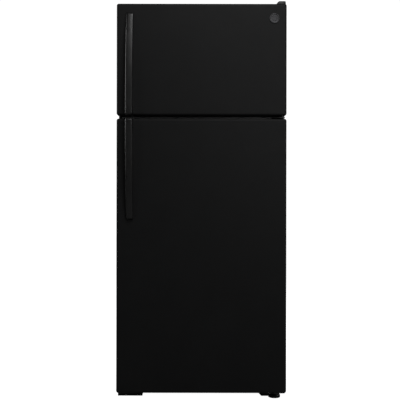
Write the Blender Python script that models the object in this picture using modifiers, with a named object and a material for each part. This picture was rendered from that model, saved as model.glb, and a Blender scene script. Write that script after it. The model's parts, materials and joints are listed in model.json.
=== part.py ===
"""A top freezer refrigerator with both doors closed, standing on the floor at z = 0.

Metres, +Z up. The doors face -Y and hinge on the right, at +X. Every piece is its own object, and
each moving piece is parented to an empty that stands on its joint.
"""

import math

import bmesh
import bpy
from mathutils import Matrix, Vector

# Overall size
WIDTH = 0.711
DEPTH = 0.845
HEIGHT = 1.686
GAP = 0.0003

# Depth, from the front of the handles to the back
HANDLE_REACH = 0.060
DOOR_THICKNESS = 0.062
SEAL_GAP = 0.012
GLAND_REACH = 0.006
BACK = DEPTH / 2 - GLAND_REACH
DOOR_FRONT = -DEPTH / 2 + HANDLE_REACH
DOOR_BACK = DOOR_FRONT + DOOR_THICKNESS
CASE_FRONT = DOOR_BACK + SEAL_GAP

# Sheet thicknesses
STEEL = 0.001
LINER = 0.0015
PLATE = 0.003

# Cabinet
CASE_HALF = 0.353
CASE_TOP = 1.664
CASE_FOOT = 0.040
CASE_FLANGE = 0.014
PAN_Z = 0.050
PAN_FLANGE = 0.0075
FRAME_HALF = CASE_HALF - CASE_FLANGE - GAP

# Compartments: half width, floor, ceiling, back
FRESH_HALF = 0.311
FRESH_FLOOR = 0.106
FRESH_CEILING = 1.150
FRESH_BACK = 0.365
FREEZER_HALF = 0.298
FREEZER_FLOOR = 1.244
FREEZER_CEILING = 1.612
FREEZER_BACK = 0.345
STEP_FRONT = 0.155
STEP_TOP = 0.345
MACHINE_FRONT = 0.205
MACHINE_TOP = 0.300
LINER_FLANGE = 0.0277

# Doors
DOOR_HALF = WIDTH / 2
DOOR_EDGE = 0.008
FRESH_DOOR = (0.043, 1.190)
FREEZER_DOOR = (1.204, 1.6705)
DYKE_DEPTH = 0.030
DYKE_DRAFT = 0.004
DYKE_LAND = 0.016
FRESH_DYKE = (0.285, 0.135, 1.138)
FREEZER_DYKE = (0.272, 1.258, 1.598)
DYKE_WIDTH = 2 * DYKE_DRAFT + DYKE_LAND
GASKET_HALF = 0.339
GASKET_WIDTH = 0.0205
FRESH_GASKET = (0.082, 1.175)
FREEZER_GASKET = (1.219, 1.6555)
BADGE = (0.3034, 1.6086)

# Hinges
HINGE_X = DOOR_HALF - 0.020
HINGE_Y = DOOR_FRONT + DOOR_THICKNESS / 2
PIN_RADIUS = 0.004
PIN_DEPTH = 0.013
COLLAR_RADIUS = 0.0075
TOP_LEAF = (0.3205, 0.3475)
TOP_LEAF_REAR = -0.225
LEAF_RIGHT = 0.3505

# Handles
HANDLE_X = -0.2995
HANDLE_HALF = 0.0145
HANDLE_THICKNESS = 0.014
HANDLE_REST = 0.016
FREEZER_HANDLE = (1.632, 1.198)
FRESH_HANDLE = (0.768, 1.187)

# Shelves and drawers
BIN_WALL = 0.002
FRESH_BIN_BACK = CASE_FRONT + 0.100
FREEZER_BIN_BACK = CASE_FRONT + 0.085
SHELF_FRONT = CASE_FRONT + 0.123
DRAWER_FRONT = CASE_FRONT + 0.120
DRAWER_BACK = STEP_FRONT - 0.013
LEDGE = 0.012
DRAWER_SIDE_GAP = 0.008
SHELVES = (0.335, 0.600, 0.860)
SHELF_THICKNESS = 0.008
FREEZER_SHELF = 1.420
LOWER_BIN = (0.165, 0.285)
MIDDLE_BIN = (0.520, 0.620)
DAIRY = (0.985, 1.095)
FREEZER_LOWER_BIN = (1.286, 1.366)
FREEZER_UPPER_BIN = (1.450, 1.530)

# Controls
HOUSING_FRONT = -0.240
HOUSING_BOTTOM = 1.105
DIAL_Z = 1.128
DIAL_X = 0.070
SWITCH_X = 0.150
SWITCH_Z = 1.126

# Evaporator
COVER_Y = 0.262
EVAPORATOR_FAN_Z = 1.530

# Machine compartment
CONDENSER_FAN = (0.030, 0.310, 0.160)
INLET = (0.270, 0.120)
COMPRESSOR = (0.210, 0.310)

# Feet
FOOT_RADIUS = 0.0258
RIGHT_FOOT = (0.316, -0.2545)
LEFT_FOOT = (-0.316, -0.209)
ROLLER_RADIUS = 0.022
ROLLER_X = 0.300
ROLLER_Y = 0.350

FINISHES = {
    "black paint": ((0.016, 0.016, 0.017), 0.42, 0.0),
    "black case": ((0.018, 0.018, 0.019), 0.55, 0.0),
    "black plastic": ((0.012, 0.012, 0.013), 0.38, 0.0),
    "dark plastic": ((0.05, 0.05, 0.052), 0.5, 0.0),
    "white liner": ((0.82, 0.83, 0.82), 0.35, 0.0),
    "white plastic": ((0.78, 0.79, 0.78), 0.4, 0.0),
    "clear plastic": ((0.74, 0.80, 0.82), 0.12, 0.0),
    "foam": ((0.80, 0.70, 0.42), 0.95, 0.0),
    "grey gasket": ((0.32, 0.32, 0.33), 0.6, 0.0),
    "zinc steel": ((0.55, 0.56, 0.56), 0.38, 1.0),
    "galvanised": ((0.48, 0.49, 0.50), 0.5, 0.9),
    "black steel": ((0.025, 0.025, 0.027), 0.45, 0.6),
    "bright metal": ((0.62, 0.62, 0.63), 0.28, 1.0),
    "aluminium": ((0.72, 0.73, 0.74), 0.4, 1.0),
    "black enamel": ((0.02, 0.02, 0.02), 0.35, 0.0),
    "glass": ((0.78, 0.88, 0.85), 0.05, 0.0),
    "lamp glass": ((0.92, 0.90, 0.84), 0.1, 0.0),
    "rubber": ((0.10, 0.10, 0.10), 0.8, 0.0),
}


# Scene set-up


def clear_scene():
    for obj in list(bpy.data.objects):
        bpy.data.objects.remove(obj, do_unlink=True)


def new_collection(name):
    group = bpy.data.collections.new(name)
    bpy.context.scene.collection.children.link(group)
    return group


clear_scene()
PARTS = new_collection("top_freezer_refrigerator")
HELPERS = new_collection("cutters")
HELPERS.hide_render = True


# Shapes


def mesh_object(name, bm, group, location=(0, 0, 0)):
    mesh = bpy.data.meshes.new(name)
    bm.to_mesh(mesh)
    bm.free()
    obj = bpy.data.objects.new(name, mesh)
    obj.location = location
    group.objects.link(obj)
    if group is HELPERS:
        obj.hide_render = True
        obj.display_type = "WIRE"
    return obj


def cube_mesh(low, high):
    """A cube mesh about its own centre, and that centre."""
    low, high = Vector(low), Vector(high)
    bm = bmesh.new()
    bmesh.ops.create_cube(bm, size=1.0)
    bmesh.ops.scale(bm, vec=high - low, verts=bm.verts)
    return bm, (low + high) / 2


def box(name, low, high, group=PARTS):
    bm, centre = cube_mesh(low, high)
    return mesh_object(name, bm, group, centre)


def boxes(name, corners, group=HELPERS):
    """Several separate boxes in one mesh, each given by its low and high corner."""
    bm = bmesh.new()
    for low, high in corners:
        low, high = Vector(low), Vector(high)
        made = bmesh.ops.create_cube(bm, size=1.0)["verts"]
        bmesh.ops.scale(bm, vec=high - low, verts=made)
        bmesh.ops.translate(bm, vec=(low + high) / 2, verts=made)
    return mesh_object(name, bm, group)


def cylinder(name, radius, start, end, sides=20, group=PARTS):
    start, end = Vector(start), Vector(end)
    bm = bmesh.new()
    bmesh.ops.create_cone(
        bm,
        cap_ends=True,
        segments=sides,
        radius1=radius,
        radius2=radius,
        depth=(end - start).length,
    )
    obj = mesh_object(name, bm, group, (start + end) / 2)
    obj.rotation_euler = (end - start).to_track_quat("Z", "Y").to_euler()
    return obj


def face_towards(bm, direction):
    """The face of a box that faces this way."""
    bm.normal_update()
    return max(bm.faces, key=lambda face: face.normal.dot(Vector(direction)))


def open_box(name, low, high, wall, opening, corner=0.0, taper=0.0, slope=0.0):
    """A thin tray or cover: a box without the face towards opening, with its wall inside.

    corner rounds the edges that meet the floor and stand between the sides; taper narrows the floor,
    and slope moves its -X edge further in.
    """
    bm, centre = cube_mesh(low, high)
    towards = Vector(opening)
    floor = face_towards(bm, -towards)
    if taper:
        across = Vector([1.0 if abs(part) < 0.5 else 0.0 for part in towards])
        middle = floor.calc_center_median()
        for vert in floor.verts:
            away = (vert.co - middle) * across
            vert.co -= Vector([math.copysign(taper, part) if part else 0.0 for part in away])
    for vert in floor.verts:
        if vert.co.x < 0:
            vert.co.x += slope
    bmesh.ops.delete(bm, geom=[face_towards(bm, towards)], context="FACES_ONLY")
    if corner:
        inner_edges = [edge for edge in bm.edges if len(edge.link_faces) == 2]
        bmesh.ops.bevel(
            bm, geom=inner_edges, offset=corner, segments=3, profile=0.5, affect="EDGES"
        )
    obj = mesh_object(name, bm, PARTS, centre)
    thicken(obj, wall, -1.0)
    return obj


def thicken(obj, thickness, offset):
    modifier = obj.modifiers.new("Sheet", "SOLIDIFY")
    modifier.solidify_mode = "NON_MANIFOLD"
    modifier.nonmanifold_thickness_mode = "CONSTRAINTS"
    modifier.thickness = thickness
    modifier.offset = offset


def lathe(name, profile, steps, location, turn=(0, 0, 0)):
    """A turned shape about Z from (radius, height) pairs that run down its outside."""
    bm = bmesh.new()
    points = [bm.verts.new((radius, 0, height)) for radius, height in profile]
    for first, second in zip(points, points[1:]):
        bm.edges.new((first, second))
    obj = mesh_object(name, bm, PARTS, location)
    obj.rotation_euler = turn
    screw = obj.modifiers.new("Turn", "SCREW")
    screw.steps = steps
    screw.render_steps = steps
    screw.use_merge_vertices = True
    screw.merge_threshold = 0.00001
    return obj


def as_mesh(curve_object, group):
    """The curve as a welded mesh object in its place."""
    bpy.context.view_layer.update()
    graph = bpy.context.evaluated_depsgraph_get()
    mesh = bpy.data.meshes.new_from_object(curve_object.evaluated_get(graph))
    name = curve_object.name
    matrix = curve_object.matrix_world.copy()
    bpy.data.objects.remove(curve_object, do_unlink=True)
    bm = bmesh.new()
    bm.from_mesh(mesh)
    bpy.data.meshes.remove(mesh)
    bmesh.ops.remove_doubles(bm, verts=bm.verts, dist=0.00001)
    bmesh.ops.recalc_face_normals(bm, faces=bm.faces)
    obj = mesh_object(name, bm, group)
    obj.matrix_world = matrix
    return obj


def rod(name, points, radius, roundness=2):
    """A bent round rod or tube along a chain of points."""
    curve = bpy.data.curves.new(name, "CURVE")
    curve.dimensions = "3D"
    curve.bevel_depth = radius
    curve.bevel_resolution = roundness
    curve.use_fill_caps = True
    spline = curve.splines.new("POLY")
    spline.points.add(len(points) - 1)
    for point, place in zip(spline.points, points):
        point.co = (*place, 1.0)
    obj = bpy.data.objects.new(name, curve)
    PARTS.objects.link(obj)
    return as_mesh(obj, PARTS)


def outline_plate(name, outline, half_thickness, matrix, group=PARTS):
    """A flat plate of this outline, in the matrix's XY plane and as thick each way along its Z."""
    curve = bpy.data.curves.new(name, "CURVE")
    curve.dimensions = "2D"
    curve.fill_mode = "BOTH"
    curve.extrude = half_thickness
    spline = curve.splines.new("POLY")
    spline.points.add(len(outline) - 1)
    for point, (across, up) in zip(spline.points, outline):
        point.co = (across, up, 0.0, 1.0)
    spline.use_cyclic_u = True
    obj = bpy.data.objects.new(name, curve)
    PARTS.objects.link(obj)
    obj.matrix_world = matrix
    return as_mesh(obj, group)


def axes(x_axis, y_axis, origin):
    """The matrix whose X and Y axes are these unit vectors."""
    x_axis, y_axis = Vector(x_axis), Vector(y_axis)
    matrix = Matrix((x_axis, y_axis, x_axis.cross(y_axis))).transposed().to_4x4()
    matrix.translation = Vector(origin)
    return matrix


# Changes to shapes


def boolean(target, other, operation):
    if other.name not in HELPERS.objects:
        PARTS.objects.unlink(other)
        HELPERS.objects.link(other)
        other.hide_render = True
        other.display_type = "WIRE"
    modifier = target.modifiers.new(other.name, "BOOLEAN")
    modifier.operation = operation
    modifier.object = other
    modifier.solver = "EXACT"


def cut(target, *cutters):
    for cutter in cutters:
        boolean(target, cutter, "DIFFERENCE")


def join(target, *others):
    for other in others:
        boolean(target, other, "UNION")


def round_edges(obj, width, segments=2, angle=40):
    modifier = obj.modifiers.new("Round", "BEVEL")
    modifier.width = width
    modifier.segments = segments
    modifier.limit_method = "ANGLE"
    modifier.angle_limit = math.radians(angle)
    modifier.use_clamp_overlap = True


def finish(obj, finish_name, pivot=None, smooth=True):
    """Gives the object its own material, shading and joint."""
    colour, roughness, metallic = FINISHES[finish_name]
    material = bpy.data.materials.new(obj.name)
    material.use_nodes = True
    shader = material.node_tree.nodes["Principled BSDF"]
    shader.inputs["Base Color"].default_value = (*colour, 1.0)
    shader.inputs["Roughness"].default_value = roughness
    shader.inputs["Metallic"].default_value = metallic
    material.diffuse_color = (*colour, 1.0)
    obj.data.materials.append(material)
    if smooth:
        obj.data.shade_smooth()
        obj.data.set_sharp_from_angle(angle=math.radians(35))
    if pivot:
        obj.parent = pivot
        obj.matrix_parent_inverse = Matrix.Translation(-pivot.location)
    return obj


def pivot_at(name, location, parent=None):
    """An empty on a joint's axis, which carries the pieces that move with it."""
    empty = bpy.data.objects.new(name, None)
    empty.empty_display_size = 0.05
    empty.location = location
    PARTS.objects.link(empty)
    if parent:
        empty.parent = parent
        empty.matrix_parent_inverse = Matrix.Translation(-parent.location)
    return empty


# Cabinet


def outer_case():
    bm, centre = cube_mesh(
        (-CASE_HALF, CASE_FRONT, CASE_FOOT), (CASE_HALF, BACK - LINER - GAP, CASE_TOP)
    )
    under = face_towards(bm, (0, 0, -1))
    behind = face_towards(bm, (0, 1, 0))
    front = face_towards(bm, (0, -1, 0))
    bmesh.ops.delete(bm, geom=[under, behind], context="FACES_ONLY")
    bmesh.ops.inset_individual(bm, faces=[front], thickness=CASE_FLANGE)
    bm.normal_update()
    lowest = CASE_FOOT + CASE_FLANGE - centre.z
    lower_strip = min(
        (face for face in bm.faces if abs(face.normal.y) > 0.9),
        key=lambda face: face.calc_center_median().z,
    )
    bmesh.ops.delete(bm, geom=[front, lower_strip], context="FACES_ONLY")
    for vert in bm.verts:
        if abs(vert.co.z - lowest) < GAP:
            vert.co.z = CASE_FOOT - centre.z
    bm.normal_update()
    obj = mesh_object("outer_case", bm, PARTS, centre)
    thicken(obj, STEEL, -1.0)
    finish(obj, "black case")


def back_panel():
    obj = box(
        "back_panel",
        (-CASE_HALF, BACK - LINER, MACHINE_TOP + GAP),
        (CASE_HALF, BACK, CASE_TOP),
    )
    ribs = [
        (
            (-CASE_HALF + 0.05, BACK - 0.0005, height),
            (CASE_HALF - 0.05, BACK + 0.0015, height + 0.020),
        )
        for height in (0.62, 0.98, 1.34)
    ]
    join(obj, boxes("back_panel_ribs", ribs))
    finish(obj, "galvanised", smooth=False)


def base_pan():
    """The steel bottom: it carries the feet, the rollers and the compressor."""
    obj = open_box(
        "base_pan",
        (-CASE_HALF + STEEL + GAP, CASE_FRONT + LINER, PAN_Z - PAN_FLANGE),
        (CASE_HALF - STEEL - GAP, BACK - LINER - GAP, PAN_Z + LINER),
        LINER,
        (0, 0, -1),
    )
    finish(obj, "galvanised", smooth=False)


def compartment_outline(floor, ceiling, back, step, grow):
    """Side view of a compartment as (y, z) pairs, grown outwards; step is (y, z) of a raised rear floor."""
    front = CASE_FRONT if grow == 0 else CASE_FRONT - 0.05
    points = [(front, ceiling + grow), (front, floor - grow)]
    if step:
        points += [
            (step[0] + grow, floor - grow),
            (step[0] + grow, step[1] - grow),
            (back + grow, step[1] - grow),
        ]
    else:
        points += [(back + grow, floor - grow)]
    return points + [(back + grow, ceiling + grow)]


def prism_mesh(outline, half_width):
    """A closed prism along X of a (y, z) outline."""
    bm = bmesh.new()
    side = bm.faces.new([bm.verts.new((-half_width, y, z)) for y, z in outline])
    grown = bmesh.ops.extrude_face_region(bm, geom=[side])["geom"]
    moved = [item for item in grown if isinstance(item, bmesh.types.BMVert)]
    bmesh.ops.translate(bm, vec=(2 * half_width, 0, 0), verts=moved)
    bmesh.ops.recalc_face_normals(bm, faces=bm.faces)
    return bm


def widen_rim(bm, half_width, low, high):
    """Adds a flat flange round the open rim of a shell, out to a rectangle."""
    rim = [edge for edge in bm.edges if edge.is_boundary]
    verts = [vert for edge in rim for vert in edge.verts]
    middle = (min(v.co.z for v in verts) + max(v.co.z for v in verts)) / 2
    added = bmesh.ops.extrude_edge_only(bm, edges=rim)["geom"]
    for vert in (item for item in added if isinstance(item, bmesh.types.BMVert)):
        vert.co.x = math.copysign(half_width, vert.co.x)
        vert.co.z = high if vert.co.z > middle else low


def liner(name, half_width, floor, ceiling, back, step, flange, ledges):
    bm = prism_mesh(compartment_outline(floor, ceiling, back, step, 0), half_width)
    bmesh.ops.delete(bm, geom=[face_towards(bm, (0, -1, 0))], context="FACES_ONLY")
    widen_rim(bm, FRAME_HALF, *flange)
    obj = mesh_object(name, bm, PARTS)
    thicken(obj, LINER, 1.0)
    bars = []
    for height, front, rear in ledges:
        for side in (-1, 1):
            wall, inner = side * (half_width + LINER / 2), side * (half_width - LEDGE)
            bars.append(
                (
                    (min(wall, inner), front, height - 0.010),
                    (max(wall, inner), rear, height - GAP),
                )
            )
    join(obj, boxes(name + "_ledges", bars))
    finish(obj, "white liner", smooth=False)


def liners():
    ledge_ends = (SHELF_FRONT + 0.004, FRESH_BACK - 0.020)
    liner(
        "fresh_food_liner",
        FRESH_HALF,
        FRESH_FLOOR,
        FRESH_CEILING,
        FRESH_BACK,
        (STEP_FRONT, STEP_TOP),
        (PAN_Z + LINER + GAP, FRESH_CEILING + LINER_FLANGE),
        [(SHELVES[0], ledge_ends[0], STEP_FRONT - 0.004)]
        + [(height, *ledge_ends) for height in SHELVES[1:]],
    )
    liner(
        "freezer_liner",
        FREEZER_HALF,
        FREEZER_FLOOR,
        FREEZER_CEILING,
        FREEZER_BACK,
        None,
        (FREEZER_FLOOR - LINER_FLANGE, CASE_TOP - CASE_FLANGE - GAP),
        [(FREEZER_SHELF, ledge_ends[0], COVER_Y - 0.006)],
    )


def cabinet_foam():
    clear = STEEL + GAP
    obj = box(
        "cabinet_foam",
        (-CASE_HALF + clear, CASE_FRONT + LINER + GAP, PAN_Z + LINER + GAP),
        (CASE_HALF - clear, BACK - LINER - GAP, CASE_TOP - clear),
    )
    grow = LINER + GAP
    step = (STEP_FRONT, STEP_TOP)
    fresh = compartment_outline(FRESH_FLOOR, FRESH_CEILING, FRESH_BACK, step, grow)
    freezer = compartment_outline(FREEZER_FLOOR, FREEZER_CEILING, FREEZER_BACK, None, grow)
    machine = box(
        "machine_space",
        (-CASE_HALF - 0.05, MACHINE_FRONT, PAN_Z - 0.05),
        (CASE_HALF + 0.05, BACK + 0.05, MACHINE_TOP),
        HELPERS,
    )
    cut(
        obj,
        mesh_object("fresh_food_space", prism_mesh(fresh, FRESH_HALF + grow), HELPERS),
        mesh_object("freezer_space", prism_mesh(freezer, FREEZER_HALF + grow), HELPERS),
        machine,
    )
    finish(obj, "foam", smooth=False)


def centre_rail():
    obj = box(
        "centre_rail",
        (-FRAME_HALF, CASE_FRONT, FRESH_CEILING + LINER_FLANGE + GAP),
        (FRAME_HALF, CASE_FRONT + STEEL, FREEZER_FLOOR - LINER_FLANGE - GAP),
    )
    finish(obj, "black case", smooth=False)


def base_grille():
    """The lower trim: deep at both ends and raised in the middle, with a row of air slots."""
    left, right = -0.3545, 0.290
    left_lobe, left_ramp = 0.104, 0.004
    right_lobe, right_ramp = 0.0335, 0.015
    low, raised, top = 0.015, 0.031, 0.074
    outline = [
        (left, low),
        (left + left_lobe, low),
        (left + left_lobe + left_ramp, raised),
        (right - right_lobe - right_ramp, raised),
        (right - right_lobe, low),
        (right, low),
        (right, top),
        (left, top),
    ]
    front = CASE_FRONT - 0.008
    obj = outline_plate(
        "base_grille",
        outline,
        PLATE / 2,
        axes((1, 0, 0), (0, 0, 1), (0, front + PLATE / 2, 0)),
    )
    lip = box(
        "base_grille_lip",
        (left, front + PLATE / 2, top - PLATE),
        (right, CASE_FRONT - GAP, top),
        HELPERS,
    )
    slots = [
        ((x - 0.012, front - 0.01, 0.046), (x + 0.012, front + 0.02, 0.062))
        for x in (-0.216 + 0.036 * index for index in range(13))
    ]
    join(obj, lip)
    cut(obj, boxes("base_grille_slots", slots))
    finish(obj, "black plastic", smooth=False)


# Feet and rollers


def foot_profile():
    return [
        (0.0, PAN_Z - GAP),
        (0.005, PAN_Z - GAP),
        (0.005, 0.016),
        (0.012, 0.015),
        (FOOT_RADIUS - 0.0015, 0.0125),
        (FOOT_RADIUS, 0.0095),
        (FOOT_RADIUS, 0.003),
        (FOOT_RADIUS - 0.0010, 0.0008),
        (FOOT_RADIUS - 0.0030, 0.0),
        (0.0, 0.0),
    ]


def levelling_feet():
    for name, place in (("right", RIGHT_FOOT), ("left", LEFT_FOOT)):
        pivot = pivot_at(name + "_foot_pivot", (*place, 0.0))
        foot = lathe("levelling_foot_" + name, foot_profile(), 20, (*place, 0.0))
        finish(foot, "dark plastic", pivot)


def rear_rollers():
    half = 0.008
    cheek = 0.0025
    for name, side in (("right", 1), ("left", -1)):
        x = side * ROLLER_X
        centre = (x, ROLLER_Y, ROLLER_RADIUS)
        pivot = pivot_at(name + "_roller_pivot", centre)
        roller = cylinder(
            "rear_roller_" + name,
            ROLLER_RADIUS,
            (x - half, *centre[1:]),
            (x + half, *centre[1:]),
            24,
        )
        bore = cylinder(
            roller.name + "_bore",
            PIN_RADIUS + GAP,
            (x - 0.02, *centre[1:]),
            (x + 0.02, *centre[1:]),
            16,
            HELPERS,
        )
        round_edges(roller, 0.002, 2)
        cut(roller, bore)
        finish(roller, "dark plastic", pivot)
        outer = half + 0.001 + cheek
        bracket = box(
            "roller_bracket_" + name,
            (x - outer, ROLLER_Y - 0.026, PAN_Z - GAP - cheek),
            (x + outer, ROLLER_Y + 0.026, PAN_Z - GAP),
        )
        cheeks = [
            (
                (x + start, ROLLER_Y - 0.012, ROLLER_RADIUS - 0.009),
                (x + start + cheek, ROLLER_Y + 0.012, PAN_Z - GAP - cheek / 2),
            )
            for start in (-outer, outer - cheek)
        ]
        axle = cylinder(
            bracket.name + "_axle",
            PIN_RADIUS,
            (x - outer + cheek / 2, *centre[1:]),
            (x + outer - cheek / 2, *centre[1:]),
            16,
            HELPERS,
        )
        join(bracket, boxes(bracket.name + "_cheeks", cheeks), axle)
        finish(bracket, "zinc steel", smooth=False)


# Hinges


def pin(name, bottom, top, radius=PIN_RADIUS):
    start, end = (HINGE_X, HINGE_Y, bottom), (HINGE_X, HINGE_Y, top)
    return cylinder(name, radius, start, end, 16, HELPERS)


def top_hinge():
    plate_z = FREEZER_DOOR[1] + 0.002
    obj = box(
        "top_hinge",
        (TOP_LEAF[0], HINGE_Y - 0.012, plate_z),
        (TOP_LEAF[1], TOP_LEAF_REAR, plate_z + PLATE),
    )
    spacer = box(
        "top_hinge_spacer",
        (TOP_LEAF[0] + 0.001, CASE_FRONT + 0.004, CASE_TOP + GAP),
        (TOP_LEAF[1] - 0.001, TOP_LEAF_REAR - 0.001, plate_z + PLATE / 2),
        HELPERS,
    )
    join(obj, spacer, pin("top_hinge_pin", FREEZER_DOOR[1] - PIN_DEPTH, plate_z + PLATE / 2))
    finish(obj, "zinc steel", smooth=False)


def top_hinge_cover():
    """A cap over the top hinge, whose inner side slopes down to the door."""
    left, right, rear = 0.302, 0.3545, TOP_LEAF_REAR + 0.013
    obj = open_box(
        "top_hinge_cover",
        (left, DOOR_FRONT + 0.014, CASE_TOP - 0.003),
        (right, rear, HEIGHT),
        0.0018,
        (0, 0, -1),
        corner=0.004,
        taper=0.002,
        slope=0.020,
    )
    over_case = box(
        "top_hinge_cover_foot",
        (left - 0.01, CASE_FRONT - 0.01, CASE_TOP - 0.02),
        (right + 0.01, rear + 0.01, CASE_TOP + GAP),
        HELPERS,
    )
    over_door = box(
        "top_hinge_cover_notch",
        (left - 0.01, DOOR_FRONT - 0.02, CASE_TOP - 0.02),
        (right + 0.01, CASE_FRONT - 0.004, FREEZER_DOOR[1] + 0.0007),
        HELPERS,
    )
    cut(obj, over_case, over_door)
    finish(obj, "black plastic")


def centre_hinge():
    middle = (FRESH_DOOR[1] + FREEZER_DOOR[0]) / 2
    obj = box(
        "centre_hinge",
        (0.300, HINGE_Y - 0.014, middle - PLATE / 2),
        (LEAF_RIGHT, CASE_FRONT - GAP - PLATE / 2, middle + PLATE / 2),
    )
    tab = box(
        "centre_hinge_tab",
        (0.3005, CASE_FRONT - GAP - PLATE, FRESH_CEILING + 0.031),
        (FRAME_HALF - 0.001, CASE_FRONT - GAP, FREEZER_FLOOR - 0.031),
        HELPERS,
    )
    lower = FRESH_DOOR[1] - PIN_DEPTH
    upper = FREEZER_DOOR[0] + PIN_DEPTH
    collar = pin("centre_hinge_collar", middle, FREEZER_DOOR[0] - GAP, COLLAR_RADIUS)
    join(obj, tab, collar, pin("centre_hinge_pin", lower, upper))
    finish(obj, "black steel", smooth=False)


def bottom_hinge():
    plate_z = CASE_FOOT - 0.0015
    obj = box(
        "bottom_hinge",
        (0.2905, HINGE_Y - 0.014, plate_z),
        (LEAF_RIGHT, RIGHT_FOOT[1] + 0.020, plate_z + PLATE),
    )
    tab = box(
        "bottom_hinge_tab",
        (0.291, CASE_FRONT - GAP - PLATE, 0.030),
        (0.350, CASE_FRONT - GAP, 0.078),
        HELPERS,
    )
    stem = cylinder(
        "bottom_hinge_stem_hole",
        0.0055,
        (*RIGHT_FOOT, plate_z - 0.01),
        (*RIGHT_FOOT, plate_z + 0.02),
        16,
        HELPERS,
    )
    collar = pin("bottom_hinge_collar", plate_z + PLATE / 2, FRESH_DOOR[0] - GAP, COLLAR_RADIUS)
    upright = pin("bottom_hinge_pin", plate_z + PLATE / 2, FRESH_DOOR[0] + PIN_DEPTH)
    cut(obj, stem)
    join(obj, tab, collar, upright)
    finish(obj, "black steel", smooth=False)


# Doors


def rounded_slab(bm, radius):
    """Rounds the front face's edges and the four edges that run back from it."""
    edges = [edge for edge in bm.edges if not edge.is_boundary and not is_rear(edge)]
    bmesh.ops.bevel(bm, geom=edges, offset=radius, segments=3, profile=0.5, affect="EDGES")


def is_rear(edge):
    return all(vert.co.y > 0 for vert in edge.verts)


def pin_holes(name, z_range):
    """Cutters for the two hinge pins, a little deeper than the pins reach."""
    deep = PIN_DEPTH + 0.001
    low, high = z_range
    return (
        pin(name + "_lower_pin_hole", low - 0.02, low + deep, PIN_RADIUS + 0.0005),
        pin(name + "_upper_pin_hole", high - deep, high + 0.02, PIN_RADIUS + 0.0005),
    )


def door_skin_and_foam(name, z_range, pivot):
    low, high = z_range
    bm, centre = cube_mesh((-DOOR_HALF, DOOR_FRONT, low), (DOOR_HALF, DOOR_BACK, high))
    bmesh.ops.delete(bm, geom=[face_towards(bm, (0, 1, 0))], context="FACES_ONLY")
    rounded_slab(bm, DOOR_EDGE)
    skin = mesh_object(name + "_panel", bm, PARTS, centre)
    thicken(skin, STEEL, -1.0)
    inset = STEEL + GAP
    bm, centre = cube_mesh(
        (-DOOR_HALF + inset, DOOR_FRONT + inset, low + inset),
        (DOOR_HALF - inset, DOOR_BACK - LINER - GAP, high - inset),
    )
    rounded_slab(bm, DOOR_EDGE - inset)
    foam = mesh_object(name + "_foam", bm, PARTS, centre)
    holes = pin_holes(name, z_range)
    cut(skin, *holes)
    cut(foam, *holes)
    finish(skin, "black paint", pivot)
    finish(foam, "foam", pivot, smooth=False)


def door_liner(name, z_range, dyke, pivot):
    """The inner door sheet, pressed into a raised ring that holds the bins."""
    half, low, high = dyke
    bm = bmesh.new()
    corners = ((half, low), (-half, low), (-half, high), (half, high))
    face = bm.faces.new([bm.verts.new((x, DOOR_BACK, z)) for x, z in corners])
    bm.normal_update()
    if face.normal.y < 0:
        face.normal_flip()
    for thickness, depth in (
        (DYKE_DRAFT, DYKE_DEPTH),
        (DYKE_LAND, 0.0),
        (DYKE_DRAFT, -DYKE_DEPTH),
    ):
        bmesh.ops.inset_individual(bm, faces=[face], thickness=thickness, depth=depth)
    inset = STEEL + GAP
    widen_rim(bm, DOOR_HALF - inset, z_range[0] + inset, z_range[1] - inset)
    obj = mesh_object(name + "_liner", bm, PARTS)
    thicken(obj, LINER, -1.0)
    bm, centre = cube_mesh(
        (-DOOR_HALF + inset, DOOR_FRONT, z_range[0] + inset),
        (DOOR_HALF - inset, CASE_FRONT + 0.05, z_range[1] - inset),
    )
    rounded_slab(bm, DOOR_EDGE - inset)
    boolean(obj, mesh_object(name + "_liner_outline", bm, HELPERS, centre), "INTERSECT")
    cut(obj, *pin_holes(name + "_liner", z_range))
    finish(obj, "white liner", pivot, smooth=False)


def door_gasket(name, z_range, pivot):
    low, high = z_range
    front, rear = DOOR_BACK + GAP, CASE_FRONT - GAP
    obj = box(name + "_gasket", (-GASKET_HALF, front, low), (GASKET_HALF, rear, high))
    inner = box(
        name + "_gasket_opening",
        (-GASKET_HALF + GASKET_WIDTH, front - 0.01, low + GASKET_WIDTH),
        (GASKET_HALF - GASKET_WIDTH, rear + 0.01, high - GASKET_WIDTH),
        HELPERS,
    )
    cut(obj, inner)
    finish(obj, "grey gasket", pivot, smooth=False)


def handle_outline(far_end, free_end):
    """Side view as (reach, height): flat on the door at its far end, bowed out to a leg at its free end."""
    length = free_end - far_end
    steps = 9
    foot, leg = 0.10, 0.93
    corner = 0.10

    def reach(part):
        bow = 1 - (1 - part) ** 2
        return HANDLE_REST + (HANDLE_REACH - GAP - HANDLE_REST) * bow

    def height(part):
        return far_end + length * part

    outer = [(reach(i / steps), height(i / steps)) for i in range(steps)]
    rounded = [
        (reach(1.0), height(1 - corner * 0.35)),
        (reach(1.0) - 0.003, height(1 - corner * 0.08)),
        (reach(1.0) - 0.009, height(1.0)),
    ]
    inner = [
        (reach(part) - HANDLE_THICKNESS, height(part))
        for part in (leg + (foot - leg) * i / steps for i in range(steps + 1))
    ]
    ends = [(0.0, height(1.0)), (0.0, height(leg))]
    return [(0.0, far_end)] + outer + rounded + ends + inner + [(0.0, height(foot))]


def door_handle(name, ends, pivot):
    matrix = axes((0, -1, 0), (0, 0, 1), (HANDLE_X, DOOR_FRONT - GAP, 0))
    obj = outline_plate(name + "_handle", handle_outline(*ends), HANDLE_HALF, matrix)
    round_edges(obj, 0.003, 2, 50)
    finish(obj, "black plastic", pivot)


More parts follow.
